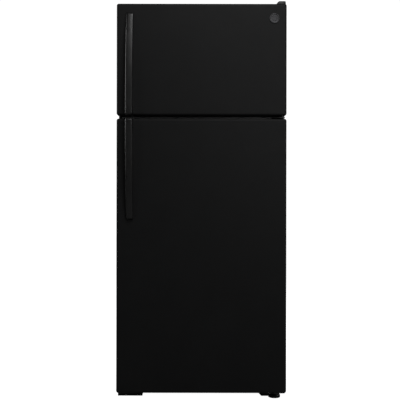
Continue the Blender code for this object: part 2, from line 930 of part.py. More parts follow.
def door_bin(name, half_width, rear, z_range, pivot):
    obj = open_box(
        name,
        (-half_width, DOOR_BACK + 0.001, z_range[0]),
        (half_width, rear, z_range[1]),
        BIN_WALL,
        (0, 0, 1),
        corner=0.010,
        taper=0.002,
    )
    finish(obj, "clear plastic", pivot)


def freezer_door():
    pivot = pivot_at("freezer_door_hinge", (HINGE_X, HINGE_Y, sum(FREEZER_DOOR) / 2))
    door_skin_and_foam("freezer_door", FREEZER_DOOR, pivot)
    door_liner("freezer_door", FREEZER_DOOR, FREEZER_DYKE, pivot)
    door_gasket("freezer_door", FREEZER_GASKET, pivot)
    door_handle("freezer_door", FREEZER_HANDLE, pivot)
    half = FREEZER_DYKE[0] - DYKE_WIDTH - 0.0015
    door_bin("freezer_door_bin_lower", half, FREEZER_BIN_BACK, FREEZER_LOWER_BIN, pivot)
    door_bin("freezer_door_bin_upper", half, FREEZER_BIN_BACK, FREEZER_UPPER_BIN, pivot)
    badge(pivot)


def badge(pivot):
    """A plain round plate with a raised ring."""
    radius, thickness = 0.0205, 0.0028
    face = 0.0012
    profile = [
        (0.0, face),
        (radius - 0.0038, face),
        (radius - 0.0032, thickness),
        (radius - 0.0008, thickness),
        (radius, thickness - 0.0008),
        (radius, 0.0),
        (0.0, 0.0),
    ]
    place = (BADGE[0], DOOR_FRONT - GAP, BADGE[1])
    obj = lathe("badge", profile, 24, place, (math.radians(90), 0, 0))
    finish(obj, "bright metal", pivot)


def fresh_food_door():
    pivot = pivot_at("fresh_food_door_hinge", (HINGE_X, HINGE_Y, sum(FRESH_DOOR) / 2))
    door_skin_and_foam("fresh_food_door", FRESH_DOOR, pivot)
    door_liner("fresh_food_door", FRESH_DOOR, FRESH_DYKE, pivot)
    door_gasket("fresh_food_door", FRESH_GASKET, pivot)
    door_handle("fresh_food_door", FRESH_HANDLE, pivot)
    half = FRESH_DYKE[0] - DYKE_WIDTH - 0.0015
    door_bin("door_bin_lower", half, FRESH_BIN_BACK, LOWER_BIN, pivot)
    door_bin("door_bin_middle", half, FRESH_BIN_BACK, MIDDLE_BIN, pivot)
    dairy_compartment(half, pivot)


def dairy_compartment(half_width, door_pivot):
    low, high = DAIRY
    obj = open_box(
        "dairy_compartment",
        (-half_width, DOOR_BACK + 0.001, low),
        (half_width, FRESH_BIN_BACK - 0.004, high),
        BIN_WALL,
        (0, 1, 0),
        corner=0.004,
    )
    finish(obj, "white plastic", door_pivot)
    hinge_y, hinge_z = FRESH_BIN_BACK - 0.0022, high - 0.002
    pivot = pivot_at("dairy_lid_hinge", (0, hinge_y, hinge_z), door_pivot)
    lid = box(
        "dairy_lid",
        (-half_width, FRESH_BIN_BACK - 0.0036, low + 0.001),
        (half_width, FRESH_BIN_BACK - 0.0012, high - 0.001),
    )
    round_edges(lid, 0.0009, 1)
    finish(lid, "clear plastic", pivot)


# Compartment fittings


def glass_shelf(name, height, rear):
    """A glass plate with its moulded frame."""
    half = FRESH_HALF - 0.001
    obj = box(name, (-half, SHELF_FRONT, height), (half, rear, height + SHELF_THICKNESS))
    lip = box(
        name + "_front_lip",
        (-half + 0.001, SHELF_FRONT - 0.002, height - 0.010),
        (half - LEDGE - 0.002, SHELF_FRONT + 0.003, height + SHELF_THICKNESS - 0.001),
        HELPERS,
    )
    recess = box(
        name + "_recess",
        (-half + 0.012, SHELF_FRONT + 0.012, height + 0.0045),
        (half - 0.012, rear - 0.012, height + 0.02),
        HELPERS,
    )
    join(obj, lip)
    cut(obj, recess)
    finish(obj, "glass", smooth=False)


def shelves():
    glass_shelf("crisper_cover", SHELVES[0], STEP_FRONT - 0.002)
    glass_shelf("lower_shelf", SHELVES[1], FRESH_BACK - 0.012)
    glass_shelf("upper_shelf", SHELVES[2], FRESH_BACK - 0.012)
    half = FREEZER_HALF - 0.001
    grid = box(
        "freezer_shelf",
        (-half, SHELF_FRONT, FREEZER_SHELF),
        (half, COVER_Y - 0.004, FREEZER_SHELF + 0.006),
    )
    count = 12
    pitch = (2 * half - 0.02) / count
    slots = [
        (
            (-half + 0.012 + pitch * index, SHELF_FRONT + 0.010, FREEZER_SHELF - 0.01),
            (-half + 0.008 + pitch * (index + 1), COVER_Y - 0.016, FREEZER_SHELF + 0.02),
        )
        for index in range(count)
    ]
    cut(grid, boxes("freezer_shelf_slots", slots))
    finish(grid, "white plastic", smooth=False)


def crisper_drawers():
    top = SHELVES[0] - 0.014
    for name, side in (("left", -1), ("right", 1)):
        inner, outer = side * 0.004, side * (FRESH_HALF - LEDGE - DRAWER_SIDE_GAP)
        low_x, high_x = min(inner, outer), max(inner, outer)
        pivot = pivot_at(name + "_crisper_slide", ((low_x + high_x) / 2, DRAWER_FRONT, top))
        obj = open_box(
            "crisper_drawer_" + name,
            (low_x, DRAWER_FRONT, FRESH_FLOOR + GAP),
            (high_x, DRAWER_BACK, top),
            0.0025,
            (0, 0, 1),
            corner=0.012,
            taper=0.006,
        )
        pull = box(
            obj.name + "_pull",
            (low_x + 0.05, DRAWER_FRONT - 0.005, top - 0.014),
            (high_x - 0.05, DRAWER_FRONT + 0.002, top - 0.001),
            HELPERS,
        )
        join(obj, pull)
        finish(obj, "clear plastic", pivot)


def control_housing():
    half, rear, wall = 0.190, 0.060, 0.0025
    obj = open_box(
        "control_housing",
        (-half, HOUSING_FRONT, HOUSING_BOTTOM),
        (half, rear, FRESH_CEILING - GAP),
        wall,
        (0, 0, 1),
        corner=0.006,
    )
    switch_hole = box(
        "switch_hole",
        (SWITCH_X - 0.0055, HOUSING_FRONT - 0.02, SWITCH_Z - 0.0075),
        (SWITCH_X + 0.0055, HOUSING_FRONT + 0.02, SWITCH_Z + 0.0075),
        HELPERS,
    )
    lamp_slots = [
        ((x - 0.004, -0.09, HOUSING_BOTTOM - 0.02), (x + 0.004, 0.02, HOUSING_BOTTOM + 0.02))
        for x in (-0.054 + 0.018 * index for index in range(7))
    ]
    cut(obj, switch_hole, boxes("lamp_slots", lamp_slots))
    finish(obj, "white plastic")


def temperature_dials():
    radius, depth = 0.018, 0.006
    for name, x in (("fresh_food", -DIAL_X), ("freezer", DIAL_X)):
        place = (x, HOUSING_FRONT - GAP, DIAL_Z)
        pivot = pivot_at(name + "_dial_pivot", place)
        profile = [
            (0.0, depth),
            (radius - 0.0015, depth),
            (radius, depth - 0.0015),
            (radius, 0.0),
            (0.0, 0.0),
        ]
        dial = lathe(name + "_dial", profile, 20, place, (math.radians(90), 0, 0))
        grip = box(
            dial.name + "_grip",
            (x - 0.003, place[1] - 0.015, DIAL_Z - 0.014),
            (x + 0.003, place[1] - depth / 2, DIAL_Z + 0.014),
            HELPERS,
        )
        join(dial, grip)
        finish(dial, "white plastic", pivot)


def light_switch():
    """The plunger that the fresh food door holds in."""
    tip = DOOR_BACK + DYKE_DEPTH + GAP
    place = (SWITCH_X, tip, SWITCH_Z)
    pivot = pivot_at("light_switch_slide", place)
    obj = box(
        "light_switch_plunger",
        (SWITCH_X - 0.005, tip, SWITCH_Z - 0.007),
        (SWITCH_X + 0.005, HOUSING_FRONT + 0.020, SWITCH_Z + 0.007),
    )
    stop_front = HOUSING_FRONT + 0.011
    stop = box(
        "light_switch_stop",
        (SWITCH_X - 0.008, stop_front, SWITCH_Z - 0.010),
        (SWITCH_X + 0.008, stop_front + 0.003, SWITCH_Z + 0.010),
        HELPERS,
    )
    join(obj, stop)
    finish(obj, "white plastic", pivot, smooth=False)


def lamp():
    """A small appliance bulb lying above the slots in the control housing."""
    profile = [
        (0.0, 0.0),
        (0.008, -0.002),
        (0.0125, -0.008),
        (0.014, -0.016),
        (0.0125, -0.026),
        (0.008, -0.034),
        (0.008, -0.056),
        (0.0, -0.056),
    ]
    place = (0, -0.070, 1.129)
    finish(lathe("lamp_bulb", profile, 16, place, (math.radians(90), 0, 0)), "lamp glass")


# Cold air system behind the freezer


def evaporator_cover():
    half = FREEZER_HALF - 0.001
    obj = box(
        "evaporator_cover",
        (-half, COVER_Y, FREEZER_FLOOR + 0.001),
        (half, COVER_Y + 0.003, FREEZER_CEILING - 0.001),
    )
    fan_hole = cylinder(
        "evaporator_cover_fan_hole",
        0.056,
        (0, COVER_Y - 0.02, EVAPORATOR_FAN_Z),
        (0, COVER_Y + 0.02, EVAPORATOR_FAN_Z),
        24,
        HELPERS,
    )
    returns = [
        (
            (x - 0.016, COVER_Y - 0.02, FREEZER_FLOOR + 0.008),
            (x + 0.016, COVER_Y + 0.02, FREEZER_FLOOR + 0.020),
        )
        for x in (-0.24 + 0.06 * index for index in range(9))
    ]
    cut(obj, fan_hole, boxes("return_air_slots", returns))
    finish(obj, "white plastic", smooth=False)


def fan_blades(name, place, axis, hub_radius, tip_radius, depth, pivot):
    """Five pitched blades on a hub that turns about axis ("X" or "Y")."""
    count = 5
    turn = Matrix.Rotation(math.radians(90), 4, "Y" if axis == "X" else "X")
    hub = cylinder(name, hub_radius, (0, 0, -depth / 2), (0, 0, depth / 2), 16)
    bm = bmesh.new()
    inner, width = hub_radius * 0.65, tip_radius * 0.72
    for index in range(count):
        made = bmesh.ops.create_cube(bm, size=1.0)["verts"]
        for vert in made:
            outward = vert.co.x > 0
            chord = width if outward else hub_radius * 0.7
            radius = tip_radius if outward else inner
            lean = vert.co.y * chord * 0.45
            vert.co = Vector((radius, vert.co.y * chord, vert.co.z * 0.0018 + lean))
        bmesh.ops.rotate(
            bm, verts=made, matrix=Matrix.Rotation(2 * math.pi * index / count, 3, "Z")
        )
    blades = mesh_object(name + "_blades", bm, HELPERS)
    for obj in (hub, blades):
        obj.matrix_world = Matrix.Translation(place) @ turn
    join(hub, blades)
    finish(hub, "dark plastic", pivot)


def fan_motor(name, place, direction, distance, span, leg, spread):
    """A motor behind its blades, on a cross bar with two legs.

    direction is the unit vector from the blades to the motor, and span the bar's half length. leg
    runs from each end of the bar to what carries it, and spread is half the leg's thickness.
    """
    place, direction = Vector(place), Vector(direction)
    across = Vector((0, 0, 1)).cross(direction)
    start = place + direction * distance
    motor = cylinder(name, 0.024, start, start + direction * 0.034, 20)
    shaft = cylinder(
        name + "_shaft",
        0.0025,
        start - direction * 0.0035,
        start + direction * 0.002,
        12,
        HELPERS,
    )
    bar_at = start + direction * 0.012
    half = Vector((0, 0, 0.006))
    low = bar_at - across * span - half - direction * 0.0015
    high = bar_at + across * span + half + direction * 0.0015
    bars = [(minimum(low, high), maximum(low, high))]
    leg, spread = Vector(leg), Vector(spread)
    for side_name, side in (("left", -1), ("right", 1)):
        first = bar_at + across * side * (span - 0.006)
        second = first + leg
        corners = minimum(first, second) - spread, maximum(first, second) + spread
        join(motor, box(f"{name}_{side_name}_leg", *corners, HELPERS))
    join(motor, boxes(name + "_bar", bars), shaft)
    finish(motor, "galvanised")


def minimum(first, second):
    return Vector([min(pair) for pair in zip(first, second)])


def maximum(first, second):
    return Vector([max(pair) for pair in zip(first, second)])


def serpentine(half_length, levels, y, bend_steps=4):
    """Points of a tube that runs to and fro along X at these heights, with round ends."""
    points = []
    for index, height in enumerate(levels):
        side = 1 if index % 2 == 0 else -1
        points += [(-side * half_length, y, height), (side * half_length, y, height)]
        if index + 1 < len(levels):
            radius = (levels[index + 1] - height) / 2
            for step in range(1, bend_steps):
                angle = math.pi * step / bend_steps
                points.append(
                    (
                        side * (half_length + radius * math.sin(angle)),
                        y,
                        height + radius * (1 - math.cos(angle)),
                    )
                )
    return points


def evaporator():
    levels = [1.285 + 0.040 * index for index in range(4)]
    y = 0.306
    obj = rod("evaporator", serpentine(0.245, levels, y), 0.0042, 1)
    fins = [
        ((x - 0.0006, y - 0.022, levels[0] - 0.014), (x + 0.0006, y + 0.022, levels[-1] + 0.014))
        for x in (-0.22 + 0.040 * index for index in range(12))
    ]
    join(obj, boxes("evaporator_fins", fins))
    finish(obj, "aluminium", smooth=False)


def defrost_heater():
    low, high, half, y = 1.2525, 1.262, 0.250, 0.306
    points = [
        (-half - 0.012, y, high + 0.060),
        (-half - 0.012, y, low + 0.010),
        (-half - 0.004, y, low),
        (half + 0.004, y, low),
        (half + 0.012, y, low + 0.010),
        (half + 0.012, y, high + 0.060),
    ]
    finish(rod("defrost_heater", [(1.08 * x, y, z) for x, y, z in points], 0.0035), "bright metal")


def evaporator_fan():
    place = (0, COVER_Y + 0.014, EVAPORATOR_FAN_Z)
    pivot = pivot_at("evaporator_fan_pivot", place)
    fan_blades("evaporator_fan_blades", place, "Y", 0.013, 0.050, 0.012, pivot)
    bar_to_cover = 0.014 + 0.0105 + 0.012 - PLATE - GAP
    leg = (0, -bar_to_cover, 0)
    fan_motor(
        "evaporator_fan_motor", place, (0, 1, 0), 0.0105, 0.070, leg, (0.0015, 0, 0.0055)
    )


# Machine compartment


def compressor():
    x, y = COMPRESSOR
    base = PAN_Z + LINER + GAP
    profile = [
        (0.0, 0.176),
        (0.030, 0.172),
        (0.058, 0.158),
        (0.072, 0.136),
        (0.075, 0.110),
        (0.077, 0.104),
        (0.077, 0.098),
        (0.075, 0.092),
        (0.072, 0.046),
        (0.060, 0.026),
        (0.040, 0.016),
        (0.0, 0.014),
    ]
    obj = lathe("compressor", profile, 24, (x, y, base))
    plate = box(
        "compressor_plate",
        (x - 0.095, y - 0.062, base + 0.012),
        (x + 0.095, y + 0.062, base + 0.018),
        HELPERS,
    )
    mounts = [
        cylinder(
            f"compressor_mount_{index}",
            0.011,
            (x + dx, y + dy, base),
            (x + dx, y + dy, base + 0.022),
            12,
            HELPERS,
        )
        for index, (dx, dy) in enumerate(
            ((-0.08, -0.048), (-0.08, 0.048), (0.08, -0.048), (0.08, 0.048))
        )
    ]
    terminal = box(
        "compressor_terminal",
        (x - 0.030, y + 0.060, base + 0.050),
        (x + 0.030, y + 0.096, base + 0.100),
        HELPERS,
    )
    join(obj, plate, *mounts, terminal)
    finish(obj, "black enamel")


def condenser():
    levels = [0.094 + 0.034 * index for index in range(5)]
    middle, y = -0.178, 0.310
    points = [(x + middle, py, z) for x, py, z in serpentine(0.118, levels, y)]
    obj = rod("condenser", points, 0.0035, 1)
    wires = [
        (
            (middle + x - 0.001, y - 0.0043, levels[0] - 0.010),
            (middle + x + 0.001, y - 0.0021, levels[-1] + 0.010),
        )
        for x in (-0.108 + 0.024 * index for index in range(10))
    ]
    join(obj, boxes("condenser_wires", wires))
    finish(obj, "black steel", smooth=False)


def condenser_fan():
    pivot = pivot_at("condenser_fan_pivot", CONDENSER_FAN)
    fan_blades("condenser_fan_blades", CONDENSER_FAN, "X", 0.014, 0.068, 0.014, pivot)
    leg = (0, 0, PAN_Z + LINER + GAP - CONDENSER_FAN[2])
    fan_motor(
        "condenser_fan_motor", CONDENSER_FAN, (1, 0, 0), 0.0115, 0.084, leg, (0.0012, 0.0055, 0)
    )


def drain_pan():
    obj = open_box(
        "drain_pan",
        (-0.330, 0.225, PAN_Z + LINER + GAP),
        (-0.020, 0.395, PAN_Z + 0.026),
        0.002,
        (0, 0, 1),
        corner=0.008,
        taper=0.004,
    )
    finish(obj, "dark plastic")


def compressor_cover():
    obj = box(
        "compressor_cover",
        (-CASE_HALF, BACK - LINER, CASE_FOOT),
        (CASE_HALF, BACK, MACHINE_TOP),
    )
    slots = [
        ((x - 0.0045, BACK - 0.02, low), (x + 0.0045, BACK + 0.02, low + 0.060))
        for low in (0.105, 0.190)
        for x in (-0.27 + 0.030 * index for index in range(16))
    ]
    hole = cylinder(
        "cord_inlet_hole",
        0.0085,
        (INLET[0], BACK - 0.02, INLET[1]),
        (INLET[0], BACK + 0.02, INLET[1]),
        16,
        HELPERS,
    )
    cut(obj, boxes("compressor_cover_slots", slots), hole)
    finish(obj, "dark plastic", smooth=False)


def cord_inlet():
    profile = [
        (0.0, GLAND_REACH),
        (0.009, GLAND_REACH),
        (0.0115, GLAND_REACH - 0.0015),
        (0.0115, GAP),
        (0.008, GAP),
        (0.008, -0.008),
        (0.0, -0.008),
    ]
    place = (INLET[0], BACK, INLET[1])
    obj = lathe("cord_inlet", profile, 16, place, (math.radians(-90), 0, 0))
    finish(obj, "rubber")


def build():
    outer_case()
    back_panel()
    base_pan()
    cabinet_foam()
    liners()
    centre_rail()
    base_grille()
    levelling_feet()
    rear_rollers()
    top_hinge()
    top_hinge_cover()
    centre_hinge()
    bottom_hinge()
    freezer_door()
    fresh_food_door()
    shelves()
    crisper_drawers()
    control_housing()
    temperature_dials()
    light_switch()
    lamp()
    evaporator_cover()
    evaporator()
    defrost_heater()
    evaporator_fan()
    compressor()
    condenser()
    condenser_fan()
    drain_pan()
    compressor_cover()
    cord_inlet()


build()
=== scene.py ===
"""The looks of a black top freezer refrigerator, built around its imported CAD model."""

import json
import math

import bmesh
import bpy
from mathutils import Matrix, Vector

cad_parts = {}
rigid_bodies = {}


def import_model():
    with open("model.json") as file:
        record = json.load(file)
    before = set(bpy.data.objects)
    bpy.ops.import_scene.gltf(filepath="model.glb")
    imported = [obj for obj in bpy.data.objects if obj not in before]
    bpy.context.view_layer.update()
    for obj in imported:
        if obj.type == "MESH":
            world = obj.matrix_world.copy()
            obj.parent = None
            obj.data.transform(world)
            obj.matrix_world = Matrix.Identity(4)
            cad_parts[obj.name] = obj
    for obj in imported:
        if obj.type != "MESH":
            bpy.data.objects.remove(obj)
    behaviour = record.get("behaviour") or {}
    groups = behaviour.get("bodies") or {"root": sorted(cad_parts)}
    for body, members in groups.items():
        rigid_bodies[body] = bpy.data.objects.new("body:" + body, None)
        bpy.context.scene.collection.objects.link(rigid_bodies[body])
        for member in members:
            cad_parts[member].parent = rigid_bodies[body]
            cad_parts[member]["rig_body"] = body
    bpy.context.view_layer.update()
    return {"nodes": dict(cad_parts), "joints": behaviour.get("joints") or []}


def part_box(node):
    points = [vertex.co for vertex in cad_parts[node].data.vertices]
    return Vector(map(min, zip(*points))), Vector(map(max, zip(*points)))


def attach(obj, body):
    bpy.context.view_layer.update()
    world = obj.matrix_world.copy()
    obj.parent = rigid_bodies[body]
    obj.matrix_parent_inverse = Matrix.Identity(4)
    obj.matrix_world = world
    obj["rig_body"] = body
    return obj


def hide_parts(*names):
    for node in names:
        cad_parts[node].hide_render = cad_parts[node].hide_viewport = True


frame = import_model()

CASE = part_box("outer_case")
CASE_FRONT = CASE[0].y
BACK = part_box("compressor_cover")[1].y
DOOR_FRONT, DOOR_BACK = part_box("fresh_food_door_panel")[0].y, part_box("fresh_food_door_panel")[1].y
GAP = 0.0003
HINGE_LEAF = 0.003
SHEET = 0.001
LINER = 0.0015
FORMED_SHEET = LINER * 0.9

# Compartments and door dykes: half width, lowest and highest, as the CAD model has them
FRESH_SPACE = (0.311, 0.106, 1.15)
FREEZER_SPACE = (0.298, 1.244, 1.612)
FRESH_DYKE = (0.285, 0.135, 1.138)
FREEZER_DYKE = (0.272, 1.258, 1.598)
STEP_FRONT = 0.155
STEP_TOP = 0.345

# Sizes that several pieces share
BACK_RIBS = (0.62, 0.98, 1.34)
FOAM_PORTS = ((-0.2, 0.8), (0.2, 0.8), (0.0, 1.52))
AIR_SLOTS = [-0.216 + 0.036 * index for index in range(13)]
DIAL_COUNT = 7
FLAT_HEAD = 0.0016  # of the screws that a door's rear corner swings past
FREEZER_GRIP = (1.632, 1.198)
FRESH_GRIP = (0.768, 1.187)
HINGES = [joint for joint in frame["joints"] if joint["name"] == "freezer_door_hinge"]
HINGE_LINE = HINGES[0]["pos_m"][:2]


# Materials


class Finish:
    """A Principled material, and the nodes that give it colour variation and grain."""

    def __init__(self, name, roughness, metallic=0.0, **sockets):
        self.material = bpy.data.materials.new(name)
        self.material.use_nodes = True
        self.tree = self.material.node_tree
        self.shader = self.tree.nodes["Principled BSDF"]
        self.shader.inputs["Roughness"].default_value = roughness
        self.shader.inputs["Metallic"].default_value = metallic
        for socket, value in sockets.items():
            self.shader.inputs[socket.replace("_", " ")].default_value = value
        self.place = self.tree.nodes.new("ShaderNodeTexCoord").outputs["Object"]
        self.height = None

    def node(self, kind, source=None, socket="Vector", **inputs):
        """A new shader node with these inputs, and source linked to its socket."""
        made = self.tree.nodes.new("ShaderNode" + kind)
        for name, value in inputs.items():
            made.inputs[name].default_value = value
        if source:
            self.tree.links.new(source, made.inputs[socket])
        return made

    def noise(self, scale, detail=2.0, stretch=None):
        """Noise over the object's coordinates, which stretch scales along each axis."""
        place = self.place
        if stretch:
            place = self.node("Mapping", place, Scale=stretch).outputs["Vector"]
        return self.node("TexNoise", place, Scale=scale, Detail=detail).outputs["Fac"]

    def cells(self, scale, output="Distance", feature="F1"):
        made = self.node("TexVoronoi", self.place, Scale=scale)
        made.feature = feature
        return made.outputs[output]

    def ramp(self, source, socket, low, high, start, end):
        """Links source to a socket, mapped from start..end to the two colours or greys."""
        made = self.node("ValToRGB", source, "Fac")
        for element, place, value in zip(made.color_ramp.elements, (start, end), (low, high)):
            element.position = place
            element.color = (*value, 1.0) if isinstance(value, tuple) else (value, value, value, 1.0)
        self.tree.links.new(made.outputs["Color"], self.shader.inputs[socket])
        return self

    def colour(self, source, low, high, start=0.3, end=0.7):
        return self.ramp(source, "Base Color", low, high, start, end)

    def rough(self, source, low, high, start=0.3, end=0.7):
        return self.ramp(source, "Roughness", low, high, start, end)

    def bump(self, source, distance, strength=1.0):
        """Adds a layer of relief, distance metres high, over those already there."""
        made = self.node("Bump", source, "Height", Distance=distance, Strength=strength)
        if self.height:
            self.tree.links.new(self.height, made.inputs["Normal"])
        self.height = made.outputs["Normal"]
        self.tree.links.new(self.height, self.shader.inputs["Normal"])
        return self


def grey(value, warm=0.0):
    return (value * (1 + warm), value, value * (1 - warm))


def moulded(name, dark, light, roughness, grain=1400.0, relief=0.00006, **sockets):
    """Injection-moulded plastic with a fine spark-eroded grain and faint handling wear."""
    made = Finish(name, roughness, **sockets)
    made.colour(made.noise(22.0, 5.0), dark, light, 0.25, 0.75)
    made.rough(made.noise(45.0, 4.0), roughness - 0.06, roughness + 0.07)
    return made.bump(made.noise(grain, 2.0), relief, 0.6).material


def brushed(name, dark, light, roughness, stretch=(1.0, 1.0, 0.08)):
    made = Finish(name, roughness, 1.0)
    made.colour(made.noise(30.0, 4.0), dark, light)
    made.rough(made.noise(700.0, 3.0, stretch), roughness - 0.07, roughness + 0.1)
    return made.bump(made.noise(1100.0, 2.0, stretch), 0.00002, 0.5).material


def door_enamel():
    """Black enamel with a shallow orange peel."""
    made = Finish("black_door_enamel", 0.5, Specular_IOR_Level=0.12)
    made.colour(made.noise(9.0, 4.0), grey(0.0064, -0.02), grey(0.0074, -0.02))
    made.rough(made.noise(60.0, 3.0), 0.47, 0.55)
    made.bump(made.noise(420.0, 2.0), 0.00012, 0.35)
    return made.bump(made.noise(1500.0, 1.0), 0.00004, 0.4).material


def case_enamel():
    """The cabinet's pebbled black paint."""
    made = Finish("black_pebbled_paint", 0.5, Specular_IOR_Level=0.3)
    made.colour(made.noise(14.0, 4.0), grey(0.0075), grey(0.01))
    made.rough(made.cells(650.0), 0.42, 0.6, 0.1, 0.6)
    made.bump(made.cells(650.0, feature="SMOOTH_F1"), 0.0003, 0.8)
    return made.bump(made.noise(260.0, 3.0), 0.00015, 0.5).material


def vacuum_formed():
    """Glossy white sheet drawn over a mould, with the slight waves that leaves."""
    made = Finish("white_formed_sheet", 0.24, Specular_IOR_Level=0.45, Subsurface_Weight=0.04)
    made.shader.inputs["Subsurface Radius"].default_value = (0.004, 0.004, 0.004)
    made.colour(made.noise(5.0, 4.0), (0.71, 0.72, 0.715), (0.76, 0.768, 0.765), 0.1, 0.9)
    made.rough(made.noise(18.0, 3.0), 0.21, 0.29, 0.1, 0.9)
    made.bump(made.noise(14.0, 2.0), 0.0003, 0.25)
    return made.bump(made.noise(900.0, 2.0), 0.00003, 0.35).material


def clear_plastic():
    made = Finish("clear_bin_plastic", 0.1, IOR=1.49, Transmission_Weight=0.72)
    made.colour(made.noise(12.0, 3.0), (0.88, 0.91, 0.93), (0.9152, 0.9464, 0.9672))
    made.rough(made.noise(35.0, 4.0), 0.07, 0.15)
    return made.bump(made.noise(40.0, 2.0), 0.0002, 0.2).material


def tempered_glass():
    made = Finish("tempered_glass", 0.03, IOR=1.5, Transmission_Weight=0.92)
    made.colour(made.noise(6.0, 2.0), (0.8, 0.9, 0.86), (0.84, 0.93, 0.89))
    return made.rough(made.noise(30.0, 5.0), 0.015, 0.06).material


def flexible_seal():
    made = Finish("flexible_seal", 0.62, Specular_IOR_Level=0.3)
    made.colour(made.noise(30.0, 4.0), grey(0.42), grey(0.5))
    made.rough(made.noise(70.0, 3.0), 0.55, 0.7)
    return made.bump(made.noise(700.0, 3.0), 0.00008, 0.5).material


def plated_steel():
    """Zinc plate with fine drawn lines."""
    made = Finish("zinc_plated_steel", 0.35, 1.0)
    made.colour(made.noise(40.0, 5.0), (0.46, 0.47, 0.46), (0.6, 0.61, 0.59))
    made.rough(made.noise(220.0, 3.0, (0.15, 1.0, 1.0)), 0.27, 0.45)
    return made.bump(made.noise(600.0, 3.0, (0.1, 1.0, 1.0)), 0.00003, 0.5).material


def galvanised():
    """Hot-dipped sheet with its spangle."""
    made = Finish("galvanised_sheet", 0.45, 0.9)
    made.colour(made.cells(110.0, "Color"), (0.42, 0.43, 0.44), (0.51, 0.52, 0.53), 0.1, 0.9)
    made.rough(made.cells(110.0, "Color"), 0.38, 0.52, 0.1, 0.9)
    return made.bump(made.noise(500.0, 3.0), 0.00003, 0.5).material


def enamelled_shell():
    made = Finish("compressor_enamel", 0.33, Coat_Weight=0.3)
    made.colour(made.noise(25.0, 4.0), grey(0.012), grey(0.02))
    made.rough(made.noise(60.0, 4.0), 0.27, 0.42)
    return made.bump(made.noise(240.0, 2.0), 0.0001, 0.5).material


def insulation():
    made = Finish("insulation_foam", 0.95)
    made.colour(made.cells(420.0), (0.72, 0.6, 0.32), (0.82, 0.72, 0.45), 0.1, 0.6)
    return made.bump(made.cells(420.0), 0.0006, 0.8).material


def bulb_glass():
    made = Finish("bulb_glass", 0.2, Transmission_Weight=0.55, Emission_Strength=0.6)
    made.shader.inputs["Emission Color"].default_value = (1.0, 0.86, 0.62, 1.0)
    made.colour(made.noise(60.0, 3.0), (0.88, 0.86, 0.8), (0.95, 0.93, 0.88))
    return made.bump(made.noise(300.0, 2.0), 0.00005, 0.3).material


# Looks: a material, and the record's slot that it takes its finish from
GLOSSY = dict(relief=0.00002, Specular_IOR_Level=0.35)
MATT = dict(Specular_IOR_Level=0.25)
DOOR_PAINT = door_enamel(), "door_paint"
CASE_PAINT = case_enamel(), "case_paint"
BLACK_PLASTIC = moulded("black_moulding", grey(0.007), grey(0.009), 0.42, **MATT), "black_plastic"
FOOT_PLASTIC = BLACK_PLASTIC[0], "dark_plastic"
GRIP_PLASTIC = moulded("black_grip_moulding", grey(0.008), grey(0.009), 0.33, **GLOSSY), "black_plastic"
DARK_PLASTIC = moulded("dark_grey_moulding", grey(0.03), grey(0.042), 0.5, 900.0, 0.0001), "dark_plastic"
# The centre rail takes the black case paint's slot but a lighter grey than that paint: painted light that
# brightens the shaded gap between the doors
RAIL_PAINTED_GAP_LIGHT = moulded("rail_painted_gap_light", grey(0.072), grey(0.088), 0.4, 900.0), "case_paint"
WHITE_SHEET = vacuum_formed(), "white_liner"
WHITE_PLASTIC = moulded("white_moulding", (0.68, 0.69, 0.685), (0.75, 0.757, 0.752), 0.38), "white_plastic"
PRINT = moulded("printed_grey", grey(0.06), grey(0.09), 0.5), "dark_plastic"
CLEAR = clear_plastic(), "clear_plastic"
GLASS = tempered_glass(), "shelf_glass"
SEAL = flexible_seal(), "gasket"
ZINC = plated_steel(), "zinc_steel"
GALVANISED = galvanised(), "galvanised_steel"
BLACK_STEEL = (
    moulded("black_painted_steel", grey(0.009), grey(0.013), 0.45, 700.0, Specular_IOR_Level=0.3),
    "black_steel",
)
BADGE_METAL = (
    brushed("badge_metal", (0.04, 0.04, 0.042), (0.055, 0.055, 0.057), 0.45, (0.08, 1.0, 1.0)),
    "badge_metal",
)
COPPER = brushed("copper_tube", (0.55, 0.25, 0.14), (0.68, 0.34, 0.2), 0.3), "zinc_steel"
ENAMEL = enamelled_shell(), "compressor_enamel"
BULB = bulb_glass(), "lamp_glass"
RUBBER = moulded("black_rubber", grey(0.018), grey(0.028), 0.78, 600.0, 0.0001), "rubber"

# Materials of CAD nodes that stay
HEATER_METAL = brushed("heater_metal", (0.5, 0.5, 0.51), (0.62, 0.62, 0.63), 0.3)
ALUMINIUM = brushed("aluminium_tube", (0.62, 0.63, 0.64), (0.74, 0.75, 0.76), 0.38)
FOAM = insulation()


# Mesh helpers


def rounded_path(corners, steps=4):
    """A line through (across, up) corners, and an arc in place of each (across, up, radius) one."""
    points = []
    for index, (across, up, *rounding) in enumerate(corners):
        here = Vector((across, up))
        radius = rounding[0] if rounding else 0
        if radius <= 0 or index in (0, len(corners) - 1):
            points.append(here)
            continue
        into = here - Vector(corners[index - 1][:2])
        out = Vector(corners[index + 1][:2]) - here
        turn = into.angle_signed(out)
        reach = radius * math.tan(abs(turn) / 2)
        start = here - into.normalized() * reach
        side = Vector((-into.y, into.x)).normalized() * math.copysign(radius, -turn)
        centre = start + side
        for step in range(steps + 1):
            angle = -turn * step / steps
            arm = start - centre
            arm.rotate(Matrix.Rotation(angle, 2))
            points.append(centre + arm)
    return points


def rounded_rectangle(low, high, radius, arc):
    """Points (across, up) round a rectangle, from its lower right corner and up."""
    (left, bottom), (right, top) = low, high
    corners = (
        (right - radius, bottom + radius, -90), (right - radius, top - radius, 0),
        (left + radius, top - radius, 90), (left + radius, bottom + radius, 180),
    )
    points = []
    for across, up, start in corners:
        for step in range(arc + 1):
            angle = math.radians(start + 90 * step / arc)
            points.append((across + radius * math.cos(angle), up + radius * math.sin(angle)))
    return points


def upright(across, up, depth):
    return Vector((across, depth, up))


def level(across, up, depth):
    return Vector((across, up, depth))


def at_depth(outline, depth, place=upright):
    return [place(across, up, depth) for across, up in outline]


